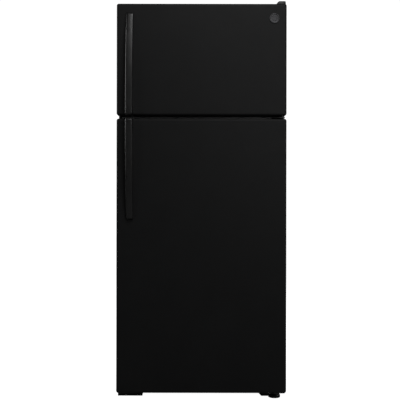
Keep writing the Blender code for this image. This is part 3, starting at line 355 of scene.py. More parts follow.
def loft(bm, rows, closed=True, caps=(False, False), ring=False):
    """Faces between rows of points. closed joins each row's ends, and ring the last row to the first."""
    made = [[bm.verts.new(point) for point in row] for row in rows]
    pairs = list(zip(made, made[1:]))
    if ring:
        pairs.append((made[-1], made[0]))
    count = len(made[0])
    for near, far in pairs:
        for index in range(count if closed else count - 1):
            following = (index + 1) % count
            bm.faces.new((near[index], near[following], far[following], far[index]))
    for row, capped in zip((made[0], made[-1]), caps):
        if capped:
            bm.faces.new(row)


def solid(bm, rows):
    """A loft closed at both ends."""
    loft(bm, rows, caps=(True, True))


def frame_rows(low, high, profile, corner, place, arc=6):
    """Rounded rectangles inset and at a depth by each (inset, depth) of the profile."""
    rows = []
    for inset, depth in profile:
        outline = rounded_rectangle(
            (low[0] + inset, low[1] + inset),
            (high[0] - inset, high[1] - inset),
            max(corner - inset, 0.0006),
            arc,
        )
        rows.append(at_depth(outline, depth, place))
    return rows


def box_rows(node, profile, corner):
    """frame_rows round the upright rectangle that a CAD node's box fills."""
    low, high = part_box(node)
    return frame_rows((low.x, low.z), (high.x, high.z), profile, corner, upright)


def around(steps):
    """The angles of this many even steps round a circle."""
    return [2 * math.pi * step / steps for step in range(steps)]


def turned(bm, profile, matrix, steps, wave=None):
    """A turned shape about the matrix's Z from (radius, height) pairs; wave(angle) adds to the radius."""
    rows = []
    for radius, height in profile:
        row = []
        for angle in around(steps):
            reach = radius + (wave(angle) if wave and radius > 0 else 0.0)
            row.append(matrix @ Vector((reach * math.cos(angle), reach * math.sin(angle), height)))
        rows.append(row)
    loft(bm, rows)


def tube(bm, points, radius, sides):
    """A round tube along these points, with flat ends."""
    points = [Vector(point) for point in points]
    rows = []
    side = None
    for index, point in enumerate(points):
        along = points[min(index + 1, len(points) - 1)] - points[max(index - 1, 0)]
        along.normalize()
        if side is None:
            side = along.orthogonal().normalized()
        side = (side - along * side.dot(along)).normalized()
        other = along.cross(side)
        ring = []
        for angle in around(sides):
            ring.append(point + radius * (math.cos(angle) * side + math.sin(angle) * other))
        rows.append(ring)
    solid(bm, rows)


def smooth_line(points, steps):
    """A Catmull-Rom line through the points."""
    points = [Vector(point) for point in points]
    padded = [points[0] * 2 - points[1]] + points + [points[-1] * 2 - points[-2]]
    line = []
    for first, second, third, fourth in zip(padded, padded[1:], padded[2:], padded[3:]):
        for step in range(steps):
            t = step / steps
            slope = (third - first) * t
            bend = (2 * first - 5 * second + 4 * third - fourth) * t * t
            twist = (3 * second - first - 3 * third + fourth) * t * t * t
            line.append(0.5 * (2 * second + slope + bend + twist))
    return line + [points[-1]]


def rounded_block(bm, low, high, radius, segments, place=None):
    """A block with every edge rounded, moved by the matrix place if there is one."""
    low, high = Vector(low), Vector(high)
    made = bmesh.ops.create_cube(bm, size=1.0)["verts"]
    bmesh.ops.scale(bm, vec=high - low, verts=made)
    bmesh.ops.translate(bm, vec=(low + high) / 2, verts=made)
    if place:
        bmesh.ops.transform(bm, matrix=place, verts=made)
    edges = list({edge for vert in made for edge in vert.link_edges})
    bmesh.ops.bevel(bm, geom=edges, offset=radius, segments=segments, profile=0.5, affect="EDGES")


def centre_at(node, depth):
    """The middle of a node's box as seen from the front, at this depth."""
    low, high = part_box(node)
    return Vector(((low.x + high.x) / 2, depth, (low.z + high.z) / 2))


def facing(direction, place):
    """The matrix at place whose Z points this way."""
    turn = Vector(direction).to_track_quat("Z", "Y").to_matrix().to_4x4()
    return Matrix.Translation(Vector(place)) @ turn


def body_of(node):
    return frame["nodes"][node]["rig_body"]


def piece(name, bm, look, node=None, crease=35, body="cabinet"):
    """Closes the mesh work: one object with a look, that rides on a body or stands for a CAD node."""
    material, slot = look
    bmesh.ops.remove_doubles(bm, verts=bm.verts, dist=0.000002)
    bmesh.ops.recalc_face_normals(bm, faces=bm.faces)
    mesh = bpy.data.meshes.new(name)
    bm.to_mesh(mesh)
    bm.free()
    obj = bpy.data.objects.new(name, mesh)
    bpy.context.scene.collection.objects.link(obj)
    mesh.materials.append(material)
    mesh.shade_smooth()
    mesh.set_sharp_from_angle(angle=math.radians(crease))
    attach(obj, body_of(node) if node else body)
    if node:
        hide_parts(node)
    return obj


def thicken(obj, thickness):
    """Gives a sheet this thickness behind its faces."""
    modifier = obj.modifiers.new("Sheet", "SOLIDIFY")
    modifier.thickness = thickness
    modifier.offset = -1.0


def eased(node, look, width, segments):
    """The CAD node's own shape with its edges rounded, in its place."""
    bm = bmesh.new()
    bm.from_mesh(frame["nodes"][node].data)
    bmesh.ops.remove_doubles(bm, verts=bm.verts, dist=0.000005)
    bmesh.ops.dissolve_limit(
        bm, angle_limit=math.radians(1.0), verts=bm.verts, edges=bm.edges, delimit={"NORMAL"}
    )
    bm.normal_update()
    edges = [edge for edge in bm.edges if edge.is_manifold and edge.calc_face_angle() > 0.6]
    bmesh.ops.bevel(
        bm, geom=edges, offset=width, segments=segments, profile=0.5, affect="EDGES",
        clamp_overlap=False,
    )
    piece(node + "_eased", bm, look, node)


def kept(node, material):
    """A CAD node that stays, with a better material."""
    obj = frame["nodes"][node]
    obj.data.materials.clear()
    obj.data.materials.append(material)


def screws(name, places, direction, radius, height=0.004):
    """Hexagonal washer heads standing on a surface."""
    bm = bmesh.new()
    brim, crown = radius * 1.35, radius * 0.82
    washer = [(0.0, 0.0), (brim, 0.0), (brim, height * 0.18), (radius * 1.05, height * 0.28)]
    head = [(radius, height * 0.22), (radius, height * 0.85), (crown, height), (0.0, height)]
    for place in places:
        matrix = facing(direction, place)
        turned(bm, washer + [(0.0, height * 0.28)], matrix, 20)
        turned(bm, head, matrix, 6)
    piece(name, bm, ZINC)


# Doors


def door_skin(prefix):
    """The pressed steel front, folded back round all four edges."""
    low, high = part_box(prefix + "_panel")
    edge, wall = 0.008, SHEET
    front, rear = low.y, high.y
    profile = rounded_path([
        (0.03, front), (0.0125, front), (0.0, front, edge), (0.0, rear, 0.0012),
        (0.007, rear, 0.0004), (0.007, rear - wall, 0.0004), (wall, rear - wall, 0.0004),
        (wall, front + wall, edge - wall), (0.03, front + wall),
    ], 6)
    bm = bmesh.new()
    solid(bm, box_rows(prefix + "_panel", profile, 0.009))
    piece(prefix + "_skin", bm, DOOR_PAINT, prefix + "_panel")


def door_inner(prefix, dyke):
    """The white inner sheet: a gasket channel, then a raised ring round the field that holds the bins."""
    liner = prefix + "_liner"
    half, bottom, top = dyke
    land, draft = 0.024, 0.004
    face, rise = DOOR_BACK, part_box(liner)[1].y
    bm = bmesh.new()
    rim = [(0.0, face - LINER), (0.0, face - 0.0006), (0.0008, face), (0.012, face)]
    outer = box_rows(liner, rim, 0.0077)
    ring = rounded_path([
        (-0.01, face), (0.0, face, 0.0035), (draft, rise, 0.0035), (land - draft, rise, 0.0035),
        (land, face, 0.0035), (land + 0.01, face),
    ])
    inner = frame_rows((-half, bottom), (half, top), ring, 0.038, upright)
    loft(bm, outer + inner, caps=(False, True))
    obj = piece(prefix + "_inner_sheet", bm, WHITE_SHEET, liner)
    thicken(obj, FORMED_SHEET)
    field_ribs(prefix, half - land, bottom + land, top - land)


def field_ribs(prefix, half, bottom, top):
    """Low upright ribs pressed into the field between the bins."""
    rib = [
        (-0.0015, DOOR_BACK - 0.0004), (0.0, DOOR_BACK, 0.001), (0.0025, DOOR_BACK + 0.002, 0.001),
        (0.0075, DOOR_BACK + 0.002),
    ]
    bm = bmesh.new()
    for index in range(-2, 3):
        across = index * half * 0.36
        lower, upper = (across - 0.009, bottom + 0.03), (across + 0.009, top - 0.03)
        solid(bm, frame_rows(lower, upper, rounded_path(rib, 3), 0.0088, upright))
    piece(prefix + "_field_ribs", bm, WHITE_SHEET, body=body_of(prefix + "_liner"))


def door_seal(prefix):
    """A bellows gasket: its dart side on the door, a fold, and the flat strip that meets the cabinet."""
    low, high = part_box(prefix + "_gasket")
    near, far = low.y, high.y
    depth = far - near
    profile = rounded_path([
        (0.004, near), (0.0015, near, 0.0004), (0.0015, near + depth * 0.26, 0.0006),
        (0.0, near + depth * 0.4, 0.0008), (0.003, near + depth * 0.54, 0.0008),
        (0.0, near + depth * 0.7, 0.0008), (0.0, far, 0.001), (0.015, far, 0.001),
        (0.0165, near + depth * 0.72, 0.0008), (0.0125, near + depth * 0.56, 0.0008),
        (0.018, near + depth * 0.36, 0.0008), (0.02, near, 0.0004), (0.018, near),
    ], 3)
    bm = bmesh.new()
    loft(bm, box_rows(prefix + "_gasket", profile, 0.01), ring=True)
    piece(prefix + "_seal", bm, SEAL, prefix + "_gasket", 50)


def grip_outline(low, high, soft, firm):
    """A section through the pull, whose outer left edge is rounded more than the other three."""
    (left, front), (right, back) = low, high
    middle = (left + right) / 2
    corners = [
        (middle, back), (left, back, firm), (left, front, soft), (right, front, firm),
        (right, back, firm), (middle, back),
    ]
    return rounded_path(corners, 7)[:-1]


def door_grip(prefix, far_end, free_end):
    """The bowed pull: flush with the door at its far end, and carried by a leg at its free end."""
    low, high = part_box(prefix + "_handle")
    reach_most = high.y - low.y
    rest, thickness, foot, leg = 0.016, 0.014, 0.1, 0.93
    soft, firm = 0.0085, 0.003
    thin_end, curl, narrowing = 0.004, 0.011, 0.0015
    far_rounding, free_rounding = 0.022, 0.024  # as shares of the pull's length
    base = high.y
    steps = 72
    rows = []

    def reach(part):
        return rest + (reach_most - rest) * (1 - (1 - part) ** 2)

    def quarter_round(share):
        return math.sqrt(1 - (1 - share) ** 2)

    def ease(value):
        value = min(1.0, max(0.0, value))
        return value * value * (3 - 2 * value)

    for step in range(steps + 1):
        # Close slices at both ends, where the shape turns quickly
        part = 0.5 - 0.5 * math.cos(math.pi * step / steps)
        part = part * 0.6 + 0.4 * step / steps
        outer = reach(part)
        start = min(1.0, part / far_rounding)
        outer = thin_end + (outer - thin_end) * quarter_round(start)
        end = min(1.0, (1 - part) / free_rounding)
        outer -= curl * (1 - quarter_round(end))
        hollow = ease((part - foot) / 0.035) * ease((leg - part) / 0.018)
        inner = max(0.0, (reach(part) - thickness)) * hollow
        narrow = narrowing * (1 - end) + narrowing * (1 - start)
        most = (outer - inner) * 0.48
        near, far = (low.x + narrow, base - outer), (high.x - narrow, base - inner)
        outline = grip_outline(near, far, min(soft, most), min(firm, most))
        height = far_end + (free_end - far_end) * part
        rows.append([level(across, depth, height) for across, depth in outline])
    bm = bmesh.new()
    solid(bm, rows)
    piece(prefix + "_grip", bm, GRIP_PLASTIC, prefix + "_handle", 60)


def hinge_bushings():
    """Moulded bushings where the hinge pins enter the doors' edges."""
    for prefix in ("freezer_door", "fresh_food_door"):
        low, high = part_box(prefix + "_panel")
        x, y = HINGE_LINE
        bm = bmesh.new()
        collar = [(0.0047, -0.004), (0.0047, 0.0002), (0.0085, 0.0002), (0.0095, -0.0003)]
        collar += [(0.0095, -0.004), (0.0047, -0.004)]
        turned(bm, collar, facing((0, 0, 1), (x, y, high.z)), 32)
        turned(bm, collar, facing((0, 0, -1), (x, y, low.z)), 32)
        piece(prefix + "_bushings", bm, DARK_PLASTIC, body=body_of(prefix + "_panel"))


def badge_disc():
    """A plain round plate: a raised ring round a sunk brushed face, which has a smaller ring on it."""
    low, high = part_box("badge")
    radius = (high.x - low.x) / 2
    thickness = high.y - low.y
    centre = centre_at("badge", high.y)
    profile = rounded_path([
        (0.0, 0.0), (radius, 0.0), (radius, thickness, 0.0009),
        (radius - 0.0032, thickness, 0.0007), (radius - 0.0042, 0.0011, 0.0003),
        (radius - 0.0095, 0.0011), (radius - 0.01, 0.0015, 0.0003),
        (radius - 0.0112, 0.0015, 0.0003), (radius - 0.0117, 0.0011), (0.0, 0.0011),
    ])
    bm = bmesh.new()
    turned(bm, profile, facing((0, -1, 0), centre), 72)
    piece("round_badge", bm, BADGE_METAL, "badge", 30)


def tray(bm, low, high, wall, corner, taper, floor_radius, rim):
    """An open tray: outside up, over a thicker rim, and down inside."""
    bottom, top = low[2], high[2]
    outside = [(taper + 0.03, bottom), (taper, bottom, floor_radius), (0.0, top, 0.0008)]
    inside = [
        (rim, top, 0.0008), (rim, top - 0.007, 0.0005), (wall, top - 0.009, 0.0005),
        (taper + wall, bottom + wall, floor_radius - wall * 0.6), (taper + 0.03, bottom + wall),
    ]
    profile = rounded_path(outside + inside)
    solid(bm, frame_rows(low[:2], high[:2], profile, corner, level))


def door_bin(node):
    """A clear moulded bin, with a thick rim and three ribs across its front."""
    low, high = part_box(node)
    bm = bmesh.new()
    tray(bm, low, high, 0.0022, 0.012, 0.002, 0.009, 0.0042)
    height = high.z - low.z
    for share in (0.3, 0.5, 0.7):
        z = low.z + height * share
        y = high.y - 0.0012 - 0.002 * (1 - share)
        lower, upper = (low.x + 0.02, y - 0.001, z - 0.0016), (high.x - 0.02, y + 0.0012, z + 0.0016)
        rounded_block(bm, lower, upper, 0.0008, 2)
    piece(node + "_moulding", bm, CLEAR, node, 45)


# Drawers and shelves


def crisper(node):
    """A clear drawer with a finger pull along its front."""
    low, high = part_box(node)
    pull = 0.005
    bm = bmesh.new()
    tray(bm, (low.x, low.y + pull, low.z), high, 0.0025, 0.014, 0.006, 0.01, 0.0048)
    front = low.y + pull
    lower, upper = (low.x + 0.05, low.y, high.z - 0.014), (high.x - 0.05, front + 0.003, high.z - 0.001)
    rounded_block(bm, lower, upper, 0.0018, 3)
    for share in (0.25, 0.75):
        x = low.x + (high.x - low.x) * share
        lower = (x - 0.0015, front + 0.0006, low.z + 0.03)
        rounded_block(bm, lower, (x + 0.0015, front + 0.0042, high.z - 0.03), 0.0006, 2)
    piece(node + "_moulding", bm, CLEAR, node, 45)


def glass_shelf(node):
    """A glass plate set in a moulded frame with a deeper front edge."""
    low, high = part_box(node)
    lip = 0.01
    base, top, front = low.z + lip, high.z, low.y + 0.002
    bm = bmesh.new()
    profile = rounded_path([
        (0.004, base), (0.0, base, 0.0012), (0.0, top, 0.0016), (0.011, top, 0.0012),
        (0.012, base + 0.0046, 0.0004), (0.0105, base + 0.0046), (0.0105, base + 0.0008),
        (0.0135, base + 0.0008), (0.0135, base, 0.0003), (0.01, base),
    ], 3)
    rows = frame_rows((low.x, front), (high.x, high.y), profile, 0.006, level)
    loft(bm, rows, ring=True)
    inset = 0.014
    lower, upper = (low.x + inset, low.y, low.z), (high.x - inset, low.y + 0.005, top - 0.0005)
    rounded_block(bm, lower, upper, 0.0022, 4)
    piece(node + "_frame", bm, WHITE_PLASTIC, node, 45)
    bm = bmesh.new()
    edge = 0.011
    profile = rounded_path([
        (0.02, base + 0.001), (0.0, base + 0.001, 0.0005), (0.0, base + 0.0044, 0.0005),
        (0.02, base + 0.0044),
    ], 2)
    rows = frame_rows((low.x + edge, front + edge), (high.x - edge, high.y - edge), profile, 0.003, level, 3)
    solid(bm, rows)
    piece(node + "_glass", bm, GLASS, body=body_of(node))


def wire_shelf():
    """White coated wires: cross bars with a long wire over them every 23 mm."""
    low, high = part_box("freezer_shelf")
    thick, thin = 0.003, 0.0017
    bm = bmesh.new()
    level_z = low.z + thick
    corners = rounded_rectangle(
        (low.x + thick, low.y + thick), (high.x - thick, high.y - thick), 0.012, 5
    )
    loop = [(x, y, level_z) for x, y in corners]
    tube(bm, loop + [loop[0], loop[1]], thick, 10)
    for share in (0.33, 0.66):
        y = low.y + (high.y - low.y) * share
        tube(bm, [(low.x + thick, y, level_z - 0.0008), (high.x - thick, y, level_z - 0.0008)], 0.0022, 8)
    count = 25
    for index in range(1, count):
        x = low.x + (high.x - low.x) * index / count
        wire = [
            (x, low.y + 0.002, low.z + 0.0022), (x, low.y + 0.0035, high.z - thin),
            (x, high.y - 0.0035, high.z - thin), (x, high.y - 0.002, low.z + 0.0022),
        ]
        tube(bm, wire, thin, 8)
    piece("freezer_shelf_wires", bm, WHITE_PLASTIC, "freezer_shelf", 60)


# Cabinet


def outer_wrap():
    """The steel wrapper: both sides and the top in one bent sheet, folded in round the front."""
    low, high = CASE
    corner, flange = 0.004, 0.014
    profile = rounded_path([
        (0.0, high.y), (0.0, low.y, 0.0016), (flange, low.y, 0.0006), (flange, low.y + 0.004),
    ])
    rows = []
    for inset, depth in profile:
        left, right, top = low.x + inset, high.x - inset, high.z - inset
        bend = max(corner - inset, 0.0006)
        line = rounded_path([(left, low.z), (left, top, bend), (right, top, bend), (right, low.z)], 6)
        rows.append(at_depth(line, depth))
    bm = bmesh.new()
    loft(bm, rows, closed=False)
    obj = piece("outer_wrap", bm, CASE_PAINT, "outer_case")
    thicken(obj, SHEET)


def moulded_compartment(node, space, ledges, step=None):
    """A compartment drawn in one sheet: flange, rounded mouth, tapered corners, and a raised rear floor."""
    half, floor, ceiling = space
    low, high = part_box(node)
    front, back = low.y, high.y - LINER
    fillet, corner = 0.014, 0.02
    rows = []

    def row(inset, depth, bottom):
        outline = rounded_rectangle(
            (-half + inset, bottom + inset), (half - inset, ceiling - inset), max(corner - inset, 0.004), 6
        )
        rows.append(at_depth(outline, depth))

    flange = rounded_rectangle((low.x, low.z), (high.x, high.z), 0.0008, 6)
    rows.append(at_depth(flange, front))
    mouth = rounded_path([(-0.012, front), (0.0, front, 0.005), (0.0, front + 0.03)], 5)
    for inset, depth in mouth:
        row(inset, depth, floor)
    if step:
        step_front, step_top = step
        climb = rounded_path([
            (step_front - 0.03, floor), (step_front, floor, 0.01), (step_front, step_top, 0.008),
            (step_front + 0.03, step_top),
        ], 5)
        for depth, bottom in climb:
            row(0.0, depth, bottom)
        floor = step_top
    rear = rounded_path([(0.0, back - 0.03), (0.0, back, fillet), (0.03, back)], 5)
    for inset, depth in rear:
        row(inset, depth, floor)
    bm = bmesh.new()
    loft(bm, rows, caps=(False, True))
    obj = piece(node + "_sheet", bm, WHITE_SHEET, node)
    thicken(obj, FORMED_SHEET)
    side_ledges(node, half, ledges)


def side_ledges(node, half, ledges):
    """Mouldings on both side walls, whose rounded ends narrow, that hold up the shelves."""
    section = [
        (0.0005, -0.01), (-0.004, -0.0065), (-0.0105, -0.0025), (-0.012, -0.0005), (-0.012, 0.0038),
        (-0.0105, 0.0052), (0.0005, 0.0052),
    ]
    bm = bmesh.new()
    for height, start, end in ledges:
        for side in (-1, 1):
            rows = []
            for depth, size in ((start, 0.72), (start + 0.006, 1.0), (end - 0.006, 1.0), (end, 0.72)):
                outline = [(side * (half + out * size), height - 0.006 + up * size) for out, up in section]
                rows.append(at_depth(outline, depth))
            solid(bm, rows)
    piece(node + "_ledges", bm, WHITE_SHEET)


def compartments():
    ledges = []
    for node in ("crisper_cover", "lower_shelf", "upper_shelf"):
        low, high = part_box(node)
        ledges.append((low.z + 0.01, low.y + 0.006, high.y))
    moulded_compartment("fresh_food_liner", FRESH_SPACE, ledges, (STEP_FRONT, STEP_TOP))
    low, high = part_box("freezer_shelf")
    moulded_compartment("freezer_liner", FREEZER_SPACE, [(low.z, low.y + 0.004, high.y)])


def stadium(bm, low, high, rise, surface, slope, soft):
    """A long rounded rib that stands along Y on an upright surface; a rise below 0 faces -Y."""
    radius = min(high[0] - low[0], high[1] - low[1]) / 2 - 0.0002
    root = surface - math.copysign(0.0006, rise)
    top = surface + rise
    corners = [(0.0, root), (0.0, surface), (slope, top, soft), (radius * 0.8, top)]
    profile = rounded_path(corners)
    solid(bm, frame_rows(low, high, profile, radius, upright))


def rear_sheet():
    """The galvanised back: a flat sheet with hemmed edges and pressed ribs across it."""
    low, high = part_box("back_panel")
    surface = BACK
    bm = bmesh.new()
    profile = rounded_path([
        (0.02, surface - LINER), (0.0, surface - LINER, 0.0004), (0.0, surface, 0.0006),
        (0.01, surface, 0.0003), (0.0112, surface - 0.0005, 0.0003), (0.03, surface - 0.0005),
    ], 3)
    solid(bm, box_rows("back_panel", profile, 0.003))
    for height in BACK_RIBS:
        ends = (low.x + 0.05, height), (high.x - 0.05, height + 0.02)
        stadium(bm, *ends, 0.002, surface - 0.0005, 0.004, 0.002)
    piece("rear_sheet", bm, GALVANISED, "back_panel")


def rear_sheet_screws():
    """Screws along the back sheet's top and both sides."""
    low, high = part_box("back_panel")
    surface, edge = BACK, 0.0055
    places = []
    for index in range(5):
        x = (low.x + edge) + (high.x - low.x - 2 * edge) * index / 4
        places.append((x, surface, high.z - edge))
    for index in range(1, 6):
        z = high.z - edge - (high.z - low.z - edge) * index / 5.4
        places += [(side * (high.x - edge), surface, z) for side in (-1, 1)]
    screws("rear_sheet_screws", places, (0, 1, 0), 0.003)


def foam_port_plugs():
    """Round plugs in the holes through which the foam was poured."""
    bm = bmesh.new()
    plug = rounded_path([
        (0.0, 0.0), (0.019, 0.0), (0.019, 0.0016, 0.0012), (0.008, 0.0024, 0.003), (0.0, 0.0024),
    ])
    for x, z in FOAM_PORTS:
        turned(bm, plug, facing((0, 1, 0), (x, BACK - 0.0006, z)), 40)
    piece("foam_port_plugs", bm, DARK_PLASTIC)


def cover_screws():
    """Screws along the compressor cover's top and bottom."""
    low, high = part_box("compressor_cover")
    edge = 0.009
    places = [(x, BACK, high.z - edge) for x in (low.x + edge, -0.12, 0.12, high.x - edge)]
    places += [(x, BACK, low.z + edge) for x in (low.x + edge, 0.0, high.x - edge)]
    screws("compressor_cover_screws", places, (0, 1, 0), 0.0032)


def hinge_screws():
    """The screws that hold the three hinges to the cabinet."""
    low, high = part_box("top_hinge")
    middle = (low.x + high.x) / 2
    places = [(x, high.y - 0.014, high.z) for x in (middle - 0.008, middle + 0.008)]
    screws("top_hinge_screws", places, (0, 0, 1), 0.003)
    low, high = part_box("centre_hinge")
    front = CASE_FRONT - GAP - HINGE_LEAF
    columns, rows = (low.x + 0.009, low.x + 0.029), (low.z + 0.004, high.z - 0.004)
    places = [(x, front, z) for x in columns for z in rows]
    screws("centre_hinge_screws", places, (0, -1, 0), 0.0022, FLAT_HEAD)
    low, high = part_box("bottom_hinge")
    places = [(x, front, high.z - 0.01) for x in (low.x + 0.0115, high.x - 0.0105)]
    screws("bottom_hinge_screws", places, (0, -1, 0), 0.003, FLAT_HEAD)


def grille():
    """The lower trim, as a plate with a moulded edge and thin upright bars behind its slots."""
    eased("base_grille", BLACK_PLASTIC, 0.0007, 2)
    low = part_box("base_grille")[0]
    bm = bmesh.new()
    for middle in AIR_SLOTS:
        for offset in (-0.006, 0.0, 0.006):
            x = middle + offset
            lower = (x - 0.0009, low.y + 0.0008, low.z + 0.0305)
            upper = (x + 0.0009, low.y + 0.004, low.z + 0.0475)
            rounded_block(bm, lower, upper, 0.0004, 2)
    piece("grille_bars", bm, BLACK_PLASTIC)


# Feet and rollers


def grip_flutes(angle):
    """How far a foot's fluted edge stands off its radius at this angle."""
    return 0.0005 * math.cos(24 * angle)


def levelling_foot(node):
    low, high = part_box(node)
    radius = (high.x - low.x) / 2 - 0.0006
    centre = ((low.x + high.x) / 2, (low.y + high.y) / 2, 0.0)
    profile = rounded_path([
        (0.0, 0.0), (radius - 0.0012, 0.0, 0.0006), (radius, 0.0014, 0.0006), (radius, 0.01, 0.0015),
        (radius - 0.003, 0.0128, 0.002), (0.0125, 0.0148, 0.003), (0.009, 0.02, 0.002),
        (0.0065, 0.021), (0.0065, 0.0212),
    ])
    bm = bmesh.new()
    turned(bm, profile + [Vector((0.0, 0.0212))], Matrix.Translation(centre), 96, grip_flutes)
    thread = [(0.0, 0.02)]
    height, pitch = 0.021, 0.00175
    while height + pitch < high.z - 0.001:
        thread += [(0.004, height), (0.005, height + pitch / 2)]
        height += pitch
    thread += [(0.004, high.z - 0.0004), (0.0, high.z - 0.0004)]
    turned(bm, thread, Matrix.Translation(centre), 28)
    piece(node + "_turned", bm, FOOT_PLASTIC, node, 40)


def rear_roller(node):
    """A wheel whose hub and rim stand out from its web, with six spokes on each side."""
    low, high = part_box(node)
    radius, half = (high.z - low.z) / 2, (high.x - low.x) / 2
    web = half - 0.0018
    right = [
        (0.0046, half), (0.0085, half, 0.0005), (0.01, web, 0.0006), (radius - 0.006, web, 0.0006),
        (radius - 0.0045, half, 0.0006), (radius, half, 0.0018),
    ]
    left = [(across, -up, *rounding) for across, up, *rounding in right]
    axle = facing((1, 0, 0), (low + high) / 2)
    bm = bmesh.new()
    turned(bm, rounded_path(left + right[::-1] + left[:1], 3), axle, 56)
    for angle in around(6):
        for height in (0.0014 - half, half - 0.0014):
            place = axle @ Matrix.Rotation(angle, 4, "Z") @ Matrix.Translation((0, 0, height))
            rounded_block(bm, (0.0095, -0.001, -0.0006), (radius - 0.0055, 0.001, 0.0006), 0.0003, 2, place)
    piece(node + "_turned", bm, FOOT_PLASTIC, node, 40)


# Controls


def fine_ribs(angle):
    """How far a dial's ribbed edge stands off its radius at this angle."""
    return 0.00025 * math.cos(36 * angle) - 0.00025


def dial(node):
    """A round knob with a tapered grip bar, and a pointer line."""
    low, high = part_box(node)
    radius = (high.x - low.x) / 2
    centre = centre_at(node, high.y)
    depth, grip = 0.006, high.y - low.y
    profile = rounded_path([
        (0.0, 0.0), (radius, 0.0), (radius, depth * 0.35, 0.0004), (radius - 0.0016, depth, 0.0012),
        (0.0, depth),
    ])
    bm = bmesh.new()
    turned(bm, profile, facing((0, -1, 0), centre), 72, fine_ribs)
    rows = []
    for share, half_width, half_height in (
        (0.0, 0.004, 0.0146), (0.55, 0.0034, 0.0142), (0.86, 0.0029, 0.0136), (0.97, 0.0024, 0.013),
        (1.0, 0.0014, 0.0118),
    ):
        y = high.y - depth * 0.7 - (grip - depth * 0.7) * share
        lower = (centre.x - half_width, centre.z - half_height)
        upper = (centre.x + half_width, centre.z + half_height)
        outline = rounded_rectangle(lower, upper, half_width * 0.8, 5)
        rows.append(at_depth(outline, y))
    solid(bm, rows)
    piece(node + "_knob", bm, WHITE_PLASTIC, node, 40)
    bm = bmesh.new()
    rounded_block(
        bm,
        (centre.x - 0.0006, low.y - 0.00005, centre.z + 0.004),
        (centre.x + 0.0006, low.y + 0.0006, centre.z + 0.0112),
        0.0001,
        1,
    )
    piece(node + "_pointer", bm, PRINT, body=body_of(node))
    return centre, radius


def dial_numbers(name, centre, radius):
    """The numbers from 1 on the housing, over three quarters of a turn about a dial."""
    bm = bmesh.new()
    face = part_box("control_housing")[0].y
    for index in range(DIAL_COUNT):
        angle = math.radians(225 - 270 * index / (DIAL_COUNT - 1))
        reach = radius + 0.0042
        text = bpy.data.curves.new("number", "FONT")
        text.body = str(index + 1)
        text.size = 0.0046
        text.align_x = "CENTER"
        text.align_y = "CENTER"
        text.extrude = 0.00008
        holder = bpy.data.objects.new("number", text)
        bpy.context.scene.collection.objects.link(holder)
        bpy.context.view_layer.update()
        graph = bpy.context.evaluated_depsgraph_get()
        mesh = bpy.data.meshes.new_from_object(holder.evaluated_get(graph))
        across, up = reach * math.cos(angle), reach * math.sin(angle)
        place = Matrix.Translation((centre.x + across, face - 0.00012, centre.z + up))
        mesh.transform(place @ Matrix.Rotation(math.radians(90), 4, "X"))
        bm.from_mesh(mesh)
        bpy.data.objects.remove(holder, do_unlink=True)
        bpy.data.curves.remove(text)
        bpy.data.meshes.remove(mesh)
    piece(name, bm, PRINT)


def controls():
    eased("control_housing", WHITE_PLASTIC, 0.0005, 2)
    for node in ("fresh_food_dial", "freezer_dial"):
        centre, radius = dial(node)
        dial_numbers(node + "_numbers", centre, radius)
    eased("light_switch_plunger", WHITE_PLASTIC, 0.0008, 3)
    lamp()


def lamp():
    """A small bulb in its screw base, turned about the line it points along."""
    centre = centre_at("lamp_bulb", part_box("lamp_bulb")[1].y)
    glass = rounded_path([
        (0.0, 0.001), (0.0122, 0.001, 0.009), (0.0136, 0.018, 0.012), (0.0085, 0.033, 0.01),
        (0.0078, 0.037), (0.0, 0.037),
    ], 8)
    bm = bmesh.new()
    away = facing((0, -1, 0), centre)
    turned(bm, glass, away, 40)
    piece("lamp_glass", bm, BULB, "lamp_bulb")
    base = [(0.0, 0.0365)]
    for index in range(8):
        base += [(0.0076, 0.037 + 0.0021 * index), (0.0068, 0.038 + 0.0021 * index)]
    base += [(0.006, 0.0545), (0.0025, 0.0558), (0.0, 0.0558)]
    bm = bmesh.new()
    turned(bm, base, away, 40)
    piece("lamp_base", bm, ZINC)


# Cold air system and machine compartment


def grid_rim(grid):
    """The points round a grid's four sides, in order."""
    far_side = [row[-1] for row in grid[1:]]
    near_side = [row[0] for row in grid[-2:0:-1]]
    return grid[0] + far_side + grid[-1][-2::-1] + near_side


def blade_face(matrix, start, tip, hub, depth, offset):
    """A grid of points over one face of a swept, twisted blade, offset along the fan's axis."""
    across, along = 7, 8
    root = hub * 0.88
    grid = []
    for i in range(along + 1):
        part = i / along
        spread = math.radians(27 + 12 * math.sin(math.pi * part))
        rounding = 0.12 * tip * max(0.0, part - 0.8) * 5
        row = []
        for j in range(across + 1):
            share = j / across * 2 - 1
            angle = start + share * spread + math.radians(14) * part
            reach = root + (tip - root) * part - rounding * share * share
            lift = -share * depth * 0.46 + depth * 0.12 * (1 - share * share)
            row.append(matrix @ Vector((reach * math.cos(angle), reach * math.sin(angle), lift + offset)))
        grid.append(row)
    return grid


def fan(node, axis, blade_count, tip, hub, depth):
    """Swept, twisted blades on a domed hub."""
    low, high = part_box(node)
    matrix = facing(axis, (low + high) / 2)
    bm = bmesh.new()
    dome = [(0.0, -depth / 2), (hub, -depth / 2, 0.0012), (hub, depth / 2, 0.0025), (0.0, depth / 2)]
    turned(bm, rounded_path(dome), matrix, 40)
    for start in around(blade_count):
        lower, upper = [blade_face(matrix, start, tip, hub, depth, offset) for offset in (-0.0008, 0.0008)]
        loft(bm, lower, closed=False)
        loft(bm, upper, closed=False)
        loft(bm, [grid_rim(lower), grid_rim(upper)])
    piece(node + "_swept", bm, DARK_PLASTIC, node, 40)


